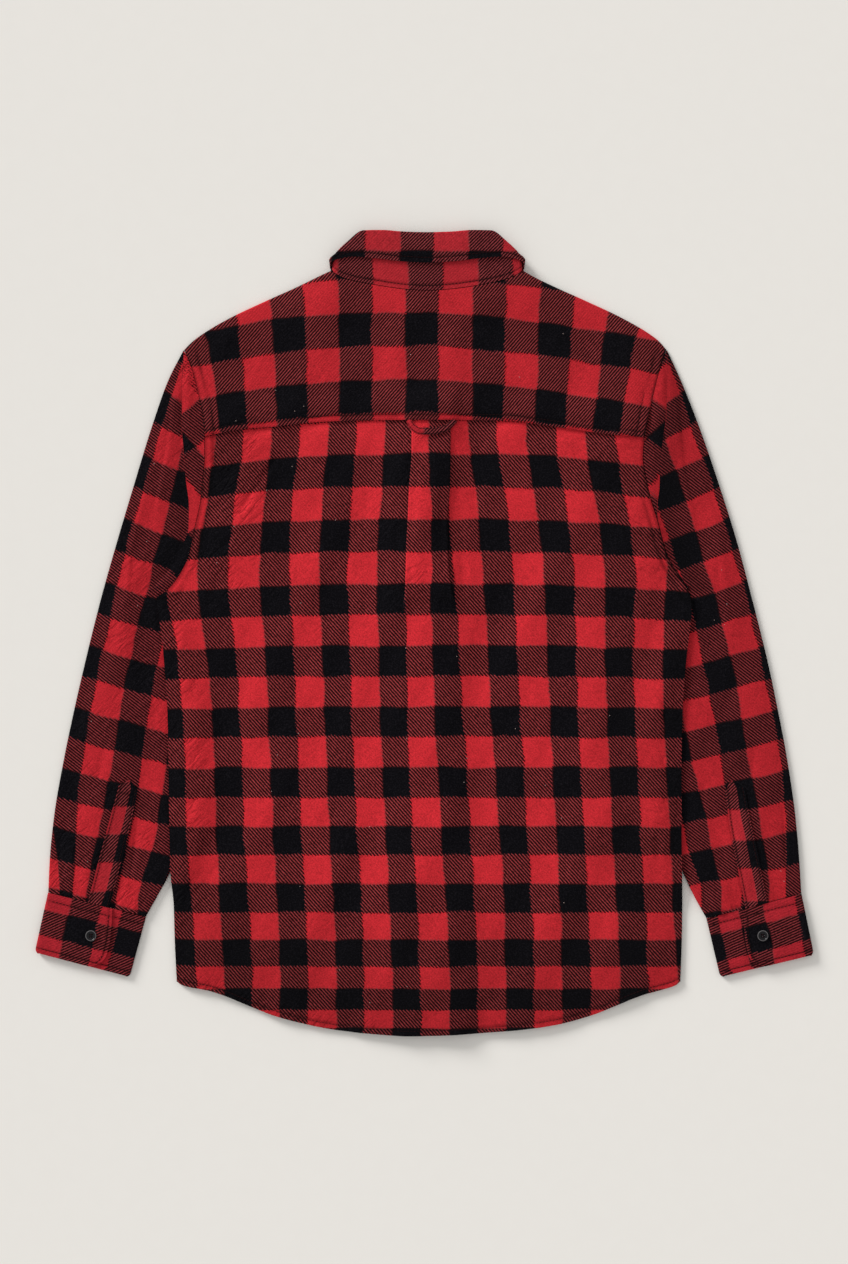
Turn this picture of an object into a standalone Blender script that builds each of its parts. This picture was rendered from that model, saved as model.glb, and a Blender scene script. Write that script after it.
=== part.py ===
"""A long-sleeved flannel shirt laid flat on its front, with its back up.

Every piece that is cut and sewn is one closed solid: a cloth wall worked out from its middle surface.
Tables give places on the laying table in millimetres, "across" from its left edge and "down" from its
top edge, and heights above it. The built part stands on z = 0, +Y towards the collar, in metres.
"""
import math

import bmesh
import bpy
import numpy as np

MM = 0.001
MIDDLE_ACROSS = 424.38          # the middle of the shirt's box on the laying table
MIDDLE_DOWN = 633.15
CLOTH = 1.2                     # brushed twill, one wall
CUFF_CLOTH = 1.6                # cuffs and fall have an interlining
GAP = 0.3                       # between pieces that touch
SEAM = 0.45                     # between pieces that are sewn edge to edge
SLEEVE_SEAM = 0.6
STEP = CLOTH + GAP              # from one layer's middle to the next one's
FLOOR_LAYER = CLOTH / 2
BAND_WIDTH = 35.0
BAND_CENTRE = 426.0
BUTTON_RADIUS = 5.6
BUTTON_HEIGHT = 2.2
OUTER_BAND_RISE = BUTTON_HEIGHT + GAP
UNDER_BAND_RISE = OUTER_BAND_RISE + STEP
CENTRE_RISE = UNDER_BAND_RISE
COLLAR_CENTRE = 427.2
COLLAR_HALF = 97.0
COLLAR_ROLL = 2.1               # from the stand's middle to the fall's on the back
YOKE_FRONT_DOWN = 388.0         # where the yoke's front seam meets the armhole
NECK_POINT_DOWN = 310.5         # where it meets the neckline
YOKE_TUCK = 8.0                 # how far the back runs up under the yoke
SLEEVE_UNDER_BODY = 3.9         # lift of the body where it lies on a sleeve
PLEAT_GAP = 0.5
FRONT_HEM_INSET = 3.0
UNDERARM_DOWN = 598.0
UNDERARM_BEND = 88.0            # turns the sleeve's rings square to its inner edge below the underarm
ARMHOLE_ROWS = (436, 457, 480, 501, 520, 540, 556, 571, 584, 592, 598)
SIDE_ROWS = (606, 614, 622, 630, 638, 652, 690, 745, 800, 845, 872, 884, 896, 908, 940, 981)
SIDE_COLUMNS = (0, 8, 17, 28, 40, 55)
CENTRE_COLUMNS = (64, 50, 38)   # beside the bands' middle, where the layers over them rise


def table(columns, *rows):
    """A short table: the names of its columns, then one row for each section."""
    values = np.array(rows, float)
    return {name: values[:, place] for place, name in enumerate(columns.split())}


SIDE = table(
    "down left right",
    (350, 184.5, 666.0), (368, 192.0, 659.5), (384, 196.5, 655.0), (399, 200.0, 651.5),
    (416, 203.5, 648.0), (436, 205.0, 644.0), (457, 205.0, 642.5), (480, 203.0, 646.0),
    (501, 201.0, 651.0), (520, 197.0, 657.0), (540, 192.5, 662.0), (556, 189.0, 667.0),
    (571, 182.0, 675.0), (584, 173.5, 683.5), (592, 166.0, 688.0), (598, 157.0, 690.5),
    (612, 159.0, 691.0), (628, 161.0, 689.5), (648, 163.5, 687.0), (667, 165.0, 685.0),
    (711, 168.0, 682.0), (763, 169.0, 681.0), (833, 170.0, 681.0), (871, 171.0, 681.5),
    (905, 174.0, 682.0), (940, 175.0, 681.5), (981, 177.0, 680.0))
SHOULDER_LEFT = table(
    "across down",
    (184.5, 350), (195, 340), (227, 320), (269, 300), (296, 288), (321, 276), (331, 271.5))
SHOULDER_RIGHT = table(
    "across down",
    (523.5, 271.5), (531, 276), (556, 288), (583, 300), (625, 320), (657, 340), (666, 350))
NECK_BACK = table(
    "across down",
    (331, 271.5), (344, 279), (371, 285), (408, 290.3), (427.2, 291.3), (446.4, 290.3),
    (483.4, 285.2), (509, 279), (523.5, 271.5))
NECK_FRONT = table(
    "across down",
    (331, 271.5), (341, 310.5), (352, 329), (376, 343), (408, 348), (427, 348.3),
    (446, 348), (478, 343), (502, 329), (513.5, 310.5), (523.5, 271.5))
YOKE_SEAM = table(
    "across down",
    (204, 436.5), (246, 429), (280, 426.5), (310, 423), (340, 421.3), (372, 420.5),
    (480, 420.5), (505, 420.8), (545, 425.7), (582, 431), (612, 435), (644, 437.5))
HEM = table(
    "across down",
    (177, 981), (183, 985), (208, 990), (224, 995), (248, 1005), (274, 1015), (312, 1025),
    (340, 1030), (375, 1033.5), (409, 1035.3), (460, 1033.6), (513, 1030), (552, 1025),
    (591, 1015), (616, 1005), (641, 995), (659, 990), (675, 985), (680, 981))
PLEAT = table(
    "down left right tuck turn",
    (410, 413.0, 449.0, 15.0, 180), (454, 413.0, 449.0, 15.0, 180), (487, 410.5, 448.5, 13.5, 180),
    (522, 409.0, 446.0, 10.0, 180), (554, 407.5, 446.5, 5.5, 180), (585, 407.0, 449.0, 2.4, 130),
    (618, 407.0, 452.0, 2.0, 0), (1040, 412.0, 450.0, 2.0, 0))
SLEEVE_LEFT = table(
    "station outer_across outer_down inner_across inner_down height",
    (0, 184.2, 350.0, 156.4, 598, 2.7), (1, 169.0, 380, 155.8, 611, 3.2),
    (2, 152.0, 428.0, 158.0, 628, 3.5), (3, 136.0, 480, 165.0, 650, 3.6),
    (4, 118.0, 540.0, 177.0, 682, 3.6), (5, 101.0, 600, 186.0, 722, 3.6),
    (6, 86.0, 660.0, 190.0, 762, 3.6), (7, 74.0, 712, 188.0, 800, 3.6),
    (8, 64.0, 760.0, 181.0, 836, 3.6), (9, 54.5, 815, 171.0, 870, 3.7),
    (10, 50.0, 860.0, 158.0, 895, 4.0), (11, 48.6, 891.8, 146.2, 916.0, 4.2))
SLEEVE_RIGHT = table(
    "station outer_across outer_down inner_across inner_down height",
    (0, 666.3, 350.0, 691.5, 598, 2.7), (1, 680.0, 380, 692.5, 611, 3.2),
    (2, 699.0, 428.0, 691.4, 628, 3.5), (3, 717.0, 480, 685.0, 650, 3.6),
    (4, 736.0, 540.0, 672.0, 682, 3.6), (5, 752.0, 600, 663.0, 722, 3.6),
    (6, 767.0, 660.0, 659.0, 762, 3.6), (7, 778.0, 712, 661.0, 800, 3.6),
    (8, 787.0, 760.0, 669.0, 836, 3.6), (9, 795.0, 815, 681.8, 870, 3.7),
    (10, 799.0, 860.0, 694.0, 896, 4.0), (11, 801.0, 893.2, 706.0, 917.6, 4.2))
CUFF_LEFT = table(
    "depth outer_across outer_down inner_across inner_down",
    (0, 48.4, 892.3, 146.2, 916.6), (1, 35.2, 951.6, 130.0, 976.6))
CUFF_RIGHT = table(
    "depth outer_across outer_down inner_across inner_down",
    (0, 801.2, 893.7, 706.2, 918.2), (1, 813.5, 954.0, 720.0, 976.6))
CUFF_LAP = table(
    "depth end trim",
    (0.0, 0.61, 0), (0.3, 0.646, 0), (0.6, 0.668, 0), (0.75, 0.668, 0), (0.86, 0.645, 0), (0.93, 0.605, 0),
    (0.97, 0.566, 0.7), (1.0, 0.52, 2.4))
SLEEVE_FOLDS = table(
    "place width depth first last",
    (0.267, 0.05, -0.7, 8.6, 11.4), (0.66, 0.05, -0.9, 7.9, 11.4), (0.834, 0.04, 0.7, 8.4, 11.4),
    (0.37, 0.06, 0.5, 8.8, 11.4))
BODY_FOLDS = table(
    "across down length width depth lean",
    (246, 470, 60, 9, 0.7, 0.45), (232, 620, 90, 12, 0.6, 0.25), (200, 760, 120, 10, 0.7, 0.10),
    (216, 870, 90, 12, 0.6, 0.20), (655, 770, 150, 7, 0.7, -0.03), (640, 620, 80, 10, 0.6, -0.20),
    (600, 500, 60, 10, 0.5, -0.35), (330, 700, 160, 26, 0.5, 0.05), (520, 690, 170, 26, 0.5, -0.04))
SLEEVE_PLACKET_LEFT = table(
    "run across down half",
    (0, 130.0, 780.5, 1.5), (0.07, 128.5, 788, 9.5), (0.3, 121.0, 820, 10.5),
    (0.6, 112.0, 855, 11.0), (0.85, 103.5, 888, 11.0), (1.0, 98.9, 903.6, 11.0))
SLEEVE_PLACKET_RIGHT = table(
    "run across down half",
    (0, 732.0, 780.5, 1.5), (0.07, 734.0, 788, 9.5), (0.3, 739.0, 820, 10.5),
    (0.6, 746.0, 855, 11.0), (0.85, 753.0, 890, 11.0), (1.0, 755.8, 904.2, 11.0))
LOOP = table(
    "run across down",
    (0, 407.5, 421.4), (0.22, 412.5, 429.3), (0.45, 422.5, 435.3), (0.62, 434.0, 435.0),
    (0.82, 448.0, 430.6), (1.0, 456.5, 421.4))
COLLAR = table(
    "side turn base_across base_down top_across top_down edge_across edge_down",
    (0.00, 0, 0.0, 291.0, 0.0, 233.2, 0.0, 263.6), (0.12, 0, 22.0, 290.0, 23.0, 232.6, 26.0, 262.3),
    (0.24, 0, 46.0, 286.4, 45.0, 231.0, 50.0, 259.5), (0.36, 0, 68.0, 281.9, 62.0, 231.6, 74.0, 257.6),
    (0.46, 0, 84.0, 278.0, 77.0, 242.0, 88.0, 259.8), (0.54, 0, 92.0, 273.4, 90.0, 254.0, 96.0, 263.8),
    (0.59, 100, 94.2, 271.1, 94.0, 259.6, 96.6, 267.0), (0.63, 180, 93.6, 272.5, 93.6, 262.5, 96.6, 269.6),
    (0.68, 180, 91.4, 286.0, 89.0, 267.0, 92.0, 292.0), (0.76, 180, 85.2, 311.0, 74.0, 281.0, 74.0, 332.0),
    (0.86, 180, 66.0, 334.0, 52.0, 298.0, 55.0, 366.0), (0.94, 180, 40.0, 344.6, 30.0, 307.0, 42.0, 350.0),
    (1.00, 180, -14.0, 347.2, -14.0, 310.0, 14.0, 312.0))


def smooth(at, stations, values):
    """A smooth curve through the stations: cubic pieces that never pass their neighbours.

    The slope at a station is the harmonic mean of the two chords beside it, or nothing at a turn.
    """
    at = np.clip(np.asarray(at, float), stations[0], stations[-1])
    chord = np.diff(values) / np.diff(stations)
    before, after = chord[:-1], chord[1:]
    total = before + after
    mean = np.where(before * after > 0, 2 * before * after / np.where(total == 0, 1, total), 0)
    slope = np.concatenate((chord[:1], mean, chord[-1:]))
    place = np.clip(np.searchsorted(stations, at, side="right") - 1, 0, len(stations) - 2)
    span = stations[place + 1] - stations[place]
    run = (at - stations[place]) / span
    return ((2 * run ** 3 - 3 * run ** 2 + 1) * values[place]
            + (run ** 3 - 2 * run ** 2 + run) * span * slope[place]
            + (3 * run ** 2 - 2 * run ** 3) * values[place + 1]
            + (run ** 3 - run ** 2) * span * slope[place + 1])


def look_up(rows, key, wanted, at):
    """Read one column of a table along another one, as a smooth curve."""
    return smooth(at, rows[key], rows[wanted])


def ease(run):
    """0 below 0, 1 above 1, and an S-curve between."""
    run = np.clip(run, 0.0, 1.0)
    return run * run * (3 - 2 * run)


def blend(first, last, run):
    """A point of the way from first to last."""
    return first + (last - first) * run


def side_line(side, down):
    """Across place of the armhole seam and the side seam: straight from row to row of the table."""
    return np.interp(down, SIDE["down"], SIDE[side])


def pleat_cover(across, down):
    """1 over the box pleat, and 0 from a centimetre beside it."""
    left = look_up(PLEAT, "down", "left", down) - 2
    right = look_up(PLEAT, "down", "right", down) + 2
    folded = look_up(PLEAT, "down", "turn", down) / 180
    return ease((across - left) / 12 + 1) * ease((right - across) / 12 + 1) * folded


def over_sleeve(across, down):
    """Lift of the body where it lies on the inner edge of a sleeve."""
    flat, ramp = 6.0, 34.0
    lift = 0.0
    for rows, side, sign in ((SLEEVE_LEFT, "left", 1), (SLEEVE_RIGHT, "right", -1)):
        inner = look_up(rows, "inner_down", "inner_across", down)
        lift = lift + ease(1 - (sign * (across - inner) - flat) / ramp)
    return SLEEVE_UNDER_BODY * lift * ease((down - 578) / 14) * ease((918 - down) / 46)


def centre_rise(across):
    """1 over the two front bands, and 0 from 62 mm beside their middle."""
    return ease((62 - np.abs(across - BAND_CENTRE)) / 42)


def neck_rise(across, down):
    """1 over the back of the neck ring, where the collar's layers lie under the yoke."""
    return ease((COLLAR_HALF + 62 - np.abs(across - COLLAR_CENTRE)) / 62) * ease((352 - down) / 58)


def fall_rise(across, down):
    """Lift of everything that lies on the front half of the collar fall."""
    beside = ease((COLLAR_HALF + 22 - np.abs(across - COLLAR_CENTRE)) / 20)
    return (STEP + 0.15) * beside * ease((398 - down) / 22)


def folds(across, down):
    """Soft folds of the body: each a ridge of its own length, width, height and lean."""
    height = 0.0
    for middle, level, length, width, depth, lean in zip(*BODY_FOLDS.values()):
        along = (down - level) / (length / 2)
        aside = (across - middle - lean * (down - level)) / width
        height = height + depth * np.exp(-aside ** 2) * ease(1 - np.abs(along))
    return height


def front_level(across, down, rise):
    """Height of a front panel's middle surface; rise is how high its band lies."""
    lift = np.maximum(over_sleeve(across, down), rise * centre_rise(across))
    return FLOOR_LAYER + np.maximum(lift, fall_rise(across, down))


def back_level(across, down):
    """Height of the middle surface of the layer above the fronts."""
    lift = np.maximum(over_sleeve(across, down), CENTRE_RISE * centre_rise(across))
    lift = np.maximum(lift, CENTRE_RISE * neck_rise(across, down))
    lift = np.maximum(lift, fall_rise(across, down))
    inset = np.minimum(across - side_line("left", down), side_line("right", down) - across)
    return FLOOR_LAYER + STEP + 0.3 + lift + (0.8 + folds(across, down)) * ease(inset / 26)


def yoke_level(across, down):
    """Height of the yoke's middle surface: over the fronts, then over the back's top edge."""
    seam = look_up(YOKE_SEAM, "across", "down", across)
    lap = ease((down - seam + 40) / 28)
    return back_level(across, down) + lap * (STEP + 0.2 + 4 * pleat_radius() * pleat_cover(across, down))


def pleat_radius():
    """Radius of the cloth's middle in a fold of the box pleat."""
    return (CLOTH + PLEAT_GAP) / 2


def thicken(middle, thickness, use, ring):
    """Carry a middle surface half a wall out along its normals on both sides.

    A point's normal is the mean of those of the used faces around it, each weighed by its area.
    """
    rows = np.concatenate((middle, middle[:, :1]), axis=1) if ring else middle
    face = np.cross(rows[1:, 1:] - rows[:-1, :-1], rows[1:, :-1] - rows[:-1, 1:]) * use[..., None]
    normal = np.zeros_like(rows)
    for row, col in ((0, 0), (0, 1), (1, 0), (1, 1)):
        normal[row:row + face.shape[0], col:col + face.shape[1]] += face
    if ring:
        normal[:, 0] += normal[:, -1]
        normal = normal[:, :-1]
    length = np.linalg.norm(normal, axis=2, keepdims=True)
    normal = normal / np.where(length == 0, 1, length)
    return middle + normal * thickness / 2, middle - normal * thickness / 2


def finish(name, colour, roughness):
    """A plain material."""
    material = bpy.data.materials.new(name)
    material.use_nodes = True
    shader = material.node_tree.nodes["Principled BSDF"]
    shader.inputs["Base Color"].default_value = (*colour, 1)
    shader.inputs["Roughness"].default_value = roughness
    shader.inputs["Metallic"].default_value = 0.0
    return material


def in_metres(points):
    """From the laying table's millimetres to the part's own frame."""
    points = np.asarray(points, float)
    moved = points * (1, -1, 1) + (-MIDDLE_ACROSS, MIDDLE_DOWN, 0)
    return moved * MM


def closed_solid(name, points, faces, material):
    """One object from points in millimetres and faces, with its faces turned outwards."""
    mesh = bpy.data.meshes.new(name)
    mesh.from_pydata(in_metres(points).tolist(), [], [list(map(int, face)) for face in faces])
    body = bmesh.new()
    body.from_mesh(mesh)
    loose = [vert for vert in body.verts if not vert.link_faces]
    bmesh.ops.delete(body, geom=loose, context="VERTS")
    bmesh.ops.recalc_face_normals(body, faces=body.faces)
    body.to_mesh(mesh)
    body.free()
    mesh.shade_smooth()
    mesh.set_sharp_from_angle(angle=math.radians(40))
    mesh.materials.append(material)
    thing = bpy.data.objects.new(name, mesh)
    bpy.context.scene.collection.objects.link(thing)
    return thing


def cloth(name, middle, colour, thickness=CLOTH, use=None, ring=False):
    """A cloth wall: the middle surface carried out both ways, and closed along its open edges."""
    rows, cols = middle.shape[:2]
    spans = cols if ring else cols - 1
    used = np.ones((rows - 1, spans), bool) if use is None else use
    outer, inner = thicken(middle, thickness, used, ring)
    index = np.arange(rows * cols).reshape(rows, cols)
    if ring:
        index = np.concatenate((index, index[:, :1]), axis=1)
    near_left, near_right = index[:-1, :-1][used], index[:-1, 1:][used]
    far_left, far_right = index[1:, :-1][used], index[1:, 1:][used]
    top = np.stack((near_left, near_right, far_right, far_left), axis=1)
    under = top[:, ::-1] + rows * cols
    edges = np.concatenate([top[:, [k, (k + 1) % 4]] for k in range(4)])
    both_ways = {tuple(edge) for edge in edges.tolist()}
    open_edges = np.array([edge for edge in edges.tolist() if (edge[1], edge[0]) not in both_ways])
    rim = np.stack((open_edges[:, 1], open_edges[:, 0],
                    open_edges[:, 0] + rows * cols, open_edges[:, 1] + rows * cols), axis=1)
    points = np.concatenate((outer.reshape(-1, 3), inner.reshape(-1, 3)))
    return closed_solid(name, points, np.concatenate((top, under, rim)).tolist(), colour)


def grid(across, down, height):
    """Put three arrays of rows and columns together as points."""
    across, down, height = np.broadcast_arrays(across, down, height)
    return np.stack((across, down, height), axis=-1).astype(float)


def side_columns(edge, last):
    """Across places from a side edge: fixed distances, two shares, then places beside the bands.

    The last of them stays a little outside the given one, where the next piece of the row starts.
    """
    inward = math.copysign(1, last - edge)
    beside = edge + inward * np.array(SIDE_COLUMNS, float)
    centre = BAND_CENTRE - inward * np.array(CENTRE_COLUMNS, float)
    between = blend(beside[-1], centre[0], np.array((0.33, 0.67)))
    inner = BAND_CENTRE - inward * max(20.0, inward * (BAND_CENTRE - last) + 4)
    return np.concatenate((beside, between, centre, (inner,)))


def pleat_path(tuck, turn):
    """Section of one side of the box pleat: run under the face, fold back by the tuck, fold up to it.

    It starts under the face and ends on its edge; both folds are arcs of the same radius, which
    open out to a straight run where the pleat ends.
    """
    radius = pleat_radius()
    angles = np.radians(np.linspace(0, turn, 3))
    opened = np.linspace(0, 1.4, 3) * (1 - turn / 180)
    first = np.stack((radius * np.sin(angles) + opened, radius * (1 - np.cos(angles))), axis=1)
    back_run = tuck * np.array((math.cos(angles[-1]), math.sin(angles[-1])))
    second = first[-1] + back_run + (first[-1] - first)[::-1]
    path = np.concatenate((first, second))
    return path - (path[-1][0], 0)


def make_back(colour):
    """The back: rows from under the yoke to the hem, with the box pleat folded in its section."""
    side_down = np.array((428.5,) + ARMHOLE_ROWS + SIDE_ROWS, float)
    run = (side_down - side_down[0]) / (side_down[-1] - side_down[0])
    rows = []
    for part, down in zip(run, side_down):
        left, right = side_line("left", down), side_line("right", down)
        hem_left, hem_right = HEM["across"][0], HEM["across"][-1]

        def level(across):
            share = (across - left) / (right - left)
            top = look_up(YOKE_SEAM, "across", "down", across) - YOKE_TUCK
            bottom = look_up(HEM, "across", "down", blend(hem_left, hem_right, share))
            return blend(top, bottom, part)

        middle_down = float(level(np.array(430.0)))
        face_left = float(look_up(PLEAT, "down", "left", middle_down))
        face_right = float(look_up(PLEAT, "down", "right", middle_down))
        tuck = float(look_up(PLEAT, "down", "tuck", middle_down))
        turn = float(look_up(PLEAT, "down", "turn", middle_down))
        path = pleat_path(tuck, turn)
        fold_left = face_left + path[:, 0]
        fold_right = (face_right - path[:, 0])[::-1]
        face = blend(face_left, face_right, np.array((0.33, 0.67)))
        body_left = side_columns(left, fold_left[0])
        body_right = side_columns(right, fold_right[-1])[::-1]
        across = np.concatenate((body_left, fold_left, face, fold_right, body_right))
        flat = 0 * body_left
        raised = np.concatenate((flat, path[:, 1], (path[-1, 1],) * 2, path[::-1, 1], flat))
        place = level(across)
        rows.append(grid(across, place, back_level(across, place) + raised))
    cloth("back_panel", np.array(rows), colour)


def shoulder_top(columns):
    """Across and down places of the yoke's upper edge: shoulder, neck, shoulder."""
    left_neck, right_neck = NECK_BACK["across"][0], NECK_BACK["across"][-1]
    left = look_up(SHOULDER_LEFT, "across", "down", columns)
    neck = look_up(NECK_BACK, "across", "down", columns)
    right = look_up(SHOULDER_RIGHT, "across", "down", columns)
    return np.where(columns <= left_neck, left, np.where(columns < right_neck, neck, right))


def make_yoke(colour):
    """The yoke: up the back, round the shoulder folds, and down onto the fronts beside the neck."""
    tip_left, tip_right = SHOULDER_LEFT["across"][0], SHOULDER_RIGHT["across"][-1]
    neck_left, neck_right = NECK_BACK["across"][0], NECK_BACK["across"][-1]
    beside = np.array((0, 0.05, 0.15, 0.3, 0.45, 0.6, 0.78, 0.92, 1))
    left_columns = blend(tip_left, neck_left, beside)
    right_columns = blend(tip_right, neck_right, beside)[::-1]
    seam_columns = np.array((364, 378, 392, 401, 411, 430, 450, 461, 474, 488), float)
    seam_left, seam_right = side_line("left", 436), side_line("right", 436)
    neck_columns = blend(tip_left, tip_right, (seam_columns - seam_left) / (seam_right - seam_left))
    top = np.concatenate((left_columns, (343,), neck_columns, (510,), right_columns))
    top_down = shoulder_top(top)
    share = (top - tip_left) / (tip_right - tip_left)
    rows = []
    for end_down in (436, 426, 416, 399, 384, 368):
        run = (end_down - 350) / (436 - 350)
        across = blend(side_line("left", end_down), side_line("right", end_down), share)
        low = look_up(YOKE_SEAM, "across", "down", across)
        down = blend(top_down, low, run)
        rows.append(grid(across, down, yoke_level(across, down)))
    upper = yoke_level(top, top_down)
    lower = front_level(top, top_down, 0.0)
    radius = (upper - lower) / 2
    edge_down = top_down + CLOTH / 2
    along_left = (top - tip_left) / (neck_left - tip_left)
    along_right = (tip_right - top) / (tip_right - neck_right)
    for angle in np.radians((90, 35, -35, -90)):
        down = edge_down + radius * (1 - math.cos(angle))
        follow_left = (side_line("left", down) - tip_left) * np.clip(1 - along_left * 5, 0, 1)
        follow_right = (side_line("right", down) - tip_right) * np.clip(1 - along_right * 5, 0, 1)
        across = top + follow_left + follow_right
        rows.append(grid(across, down, (upper + lower) / 2 + radius * math.sin(angle)))
    neck_edge = (top > neck_left) & (top < neck_right)
    rows[-4][:, 1] = np.where(neck_edge, top_down + SEAM / 2, rows[-4][:, 1])
    for end_down in (368, 384, YOKE_FRONT_DOWN):
        reach = (end_down - 350) / (YOKE_FRONT_DOWN - 350)
        neck_down = blend(271.5 + 3.0, NECK_POINT_DOWN, reach)
        left_end, right_end = side_line("left", end_down), side_line("right", end_down)
        left_neck, right_neck = front_neck_edge(neck_down)
        across = np.where(top <= neck_left, blend(left_end, left_neck, along_left),
                          np.where(top >= neck_right, blend(right_end, right_neck, along_right), top))
        shoulder_share = np.where(top <= neck_left, along_left, along_right)
        seam = blend(YOKE_FRONT_DOWN, NECK_POINT_DOWN, shoulder_share)
        down = blend(top_down, seam, reach)
        rows.append(grid(across, down, front_level(across, down, 0.0)))
    middle = np.array(rows)
    use = np.ones((middle.shape[0] - 1, middle.shape[1] - 1), bool)
    neck_spans = (top[:-1] >= neck_left) & (top[1:] <= neck_right)
    use[6:, neck_spans] = False
    cloth("yoke", middle, colour, use=use)


def front_neck_edge(down):
    """Across places of the yoke's two front edges beside the neck, between shoulder and front seam."""
    run = (down - NECK_FRONT["down"][0]) / (NECK_FRONT["down"][1] - NECK_FRONT["down"][0])
    left = blend(NECK_FRONT["across"][0], NECK_FRONT["across"][1], run)
    right = blend(NECK_FRONT["across"][-1], NECK_FRONT["across"][-2], run)
    return left, right


def front_top(side, across):
    """Down place of a front panel's upper edge: the yoke's front seam, then the front neckline."""
    armhole = side_line(side, YOKE_FRONT_DOWN)
    neck = NECK_FRONT["across"][1 if side == "left" else -2]
    seam = blend(YOKE_FRONT_DOWN, NECK_POINT_DOWN, (across - armhole) / (neck - armhole))
    past_neck = across > neck if side == "left" else across < neck
    return np.where(past_neck, look_up(NECK_FRONT, "across", "down", across), seam) + SEAM


def front_bottom(across):
    """Down place of a front panel's hem, just inside the back's."""
    inset = FRONT_HEM_INSET * ease((across - 177) / 30) * ease((680 - across) / 30)
    return look_up(HEM, "across", "down", across) - inset


def make_front(name, side, rise, colour):
    """A front panel: from its side seam to the seam of its band."""
    sign = 1 if side == "left" else -1
    band_edge = BAND_CENTRE - sign * (BAND_WIDTH / 2 + GAP)
    neck = NECK_FRONT["across"][1 if side == "left" else -2]
    side_down = np.array((YOKE_FRONT_DOWN, 399, 416) + ARMHOLE_ROWS + SIDE_ROWS, float)
    run = (side_down - side_down[0]) / (side_down[-1] - side_down[0])
    top_edge = side_line(side, YOKE_FRONT_DOWN)
    beside = np.array(SIDE_COLUMNS, float) * sign
    centre = BAND_CENTRE - sign * np.array(CENTRE_COLUMNS, float)
    inland = np.concatenate(((neck, neck + sign * 11), centre, (band_edge,)))
    top_across = np.concatenate((top_edge + beside, (blend(top_edge + beside[-1], neck, 0.5),), inland))
    lower_edge = side_line(side, 981)
    bottom_across = np.concatenate((lower_edge + beside, (blend(lower_edge + beside[-1], neck, 0.5),), inland))
    top_down = front_top(side, top_across)
    bottom_down = front_bottom(bottom_across)
    rows = []
    for part, down in zip(run, side_down):
        edge = side_line(side, down)
        half_way = blend(edge + beside[-1], neck, 0.5)
        across = np.concatenate((edge + beside, (half_way,), inland))
        place = blend(top_down, bottom_down, part)
        rows.append(grid(across, place, front_level(across, place, rise)))
    cloth(name, np.array(rows), colour)


def make_band(name, rise, colour):
    """A front band: a straight strip from the stand to the hem, lying over the buttons."""
    edge = BAND_WIDTH / 2
    across = BAND_CENTRE + np.array((-edge, 0, edge))
    top = look_up(NECK_FRONT, "across", "down", across) + SEAM
    run = np.linspace(0, 1, 9)[:, None]
    cloth(name, grid(across, blend(top, front_bottom(across), run), FLOOR_LAYER + rise), colour)


def sleeve_place(rows, side, station, share):
    """Across and down place on a sleeve: share 0 on its outer edge, 1 on its inner one.

    The first section follows the armhole seam, and the ones after it grow straight.
    """
    ends = [look_up(rows, "station", name, station)
            for name in ("outer_across", "outer_down", "inner_across", "inner_down")]
    first = [rows[name][0] for name in ("outer_across", "outer_down", "inner_across", "inner_down")]
    seam_down = blend(350.0, UNDERARM_DOWN, share)
    slope = (side_line(side, seam_down + 4) - side_line(side, seam_down - 4)) / 8
    away = SLEEVE_SEAM / np.hypot(1, slope) * (-1 if side == "left" else 1)
    seam_across = side_line(side, seam_down) + away
    bow = np.clip(1 - station / (5 * (1 - share ** 4) * ease((0.985 - share) / 0.03) + 0.2), 0, 1) ** 2
    across = blend(ends[0], ends[2], share) + bow * (seam_across - blend(first[0], first[2], share))
    down = blend(ends[1], ends[3], share) + bow * (seam_down - away * slope - blend(first[1], first[3], share))
    bend = UNDERARM_BEND * (1 - share) * ease(share / 0.95) * ease(station / 0.5) * ease((7 - station) / 4.5)
    return across + bend * (-1 if side == "left" else 1), down


def sleeve_top(rows, station, share):
    """Height of the middle of a sleeve's upper layer: a soft swell, the sleeve head and its folds."""
    height = look_up(rows, "station", "height", station) - CLOTH / 2
    swell = 1.3 * np.sin(np.pi * np.clip(share / 0.66, 0, 1)) ** 2 * ease(station / 3) * ease((11.5 - station) / 3)
    head = 1.4 * ease(station / 0.35) * ease((1.25 - station) / 0.35) \
        * ease((share - 0.03) / 0.08) * ease((0.66 - share) / 0.2)
    height = height + swell + head
    for place, width, depth, first, last in zip(*SLEEVE_FOLDS.values()):
        along = ease((station - first) / 0.9) * ease((last + 0.9 - station) / 0.9)
        height = height + depth * along * np.exp(-((share - place) / width) ** 2)
    return height


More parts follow.
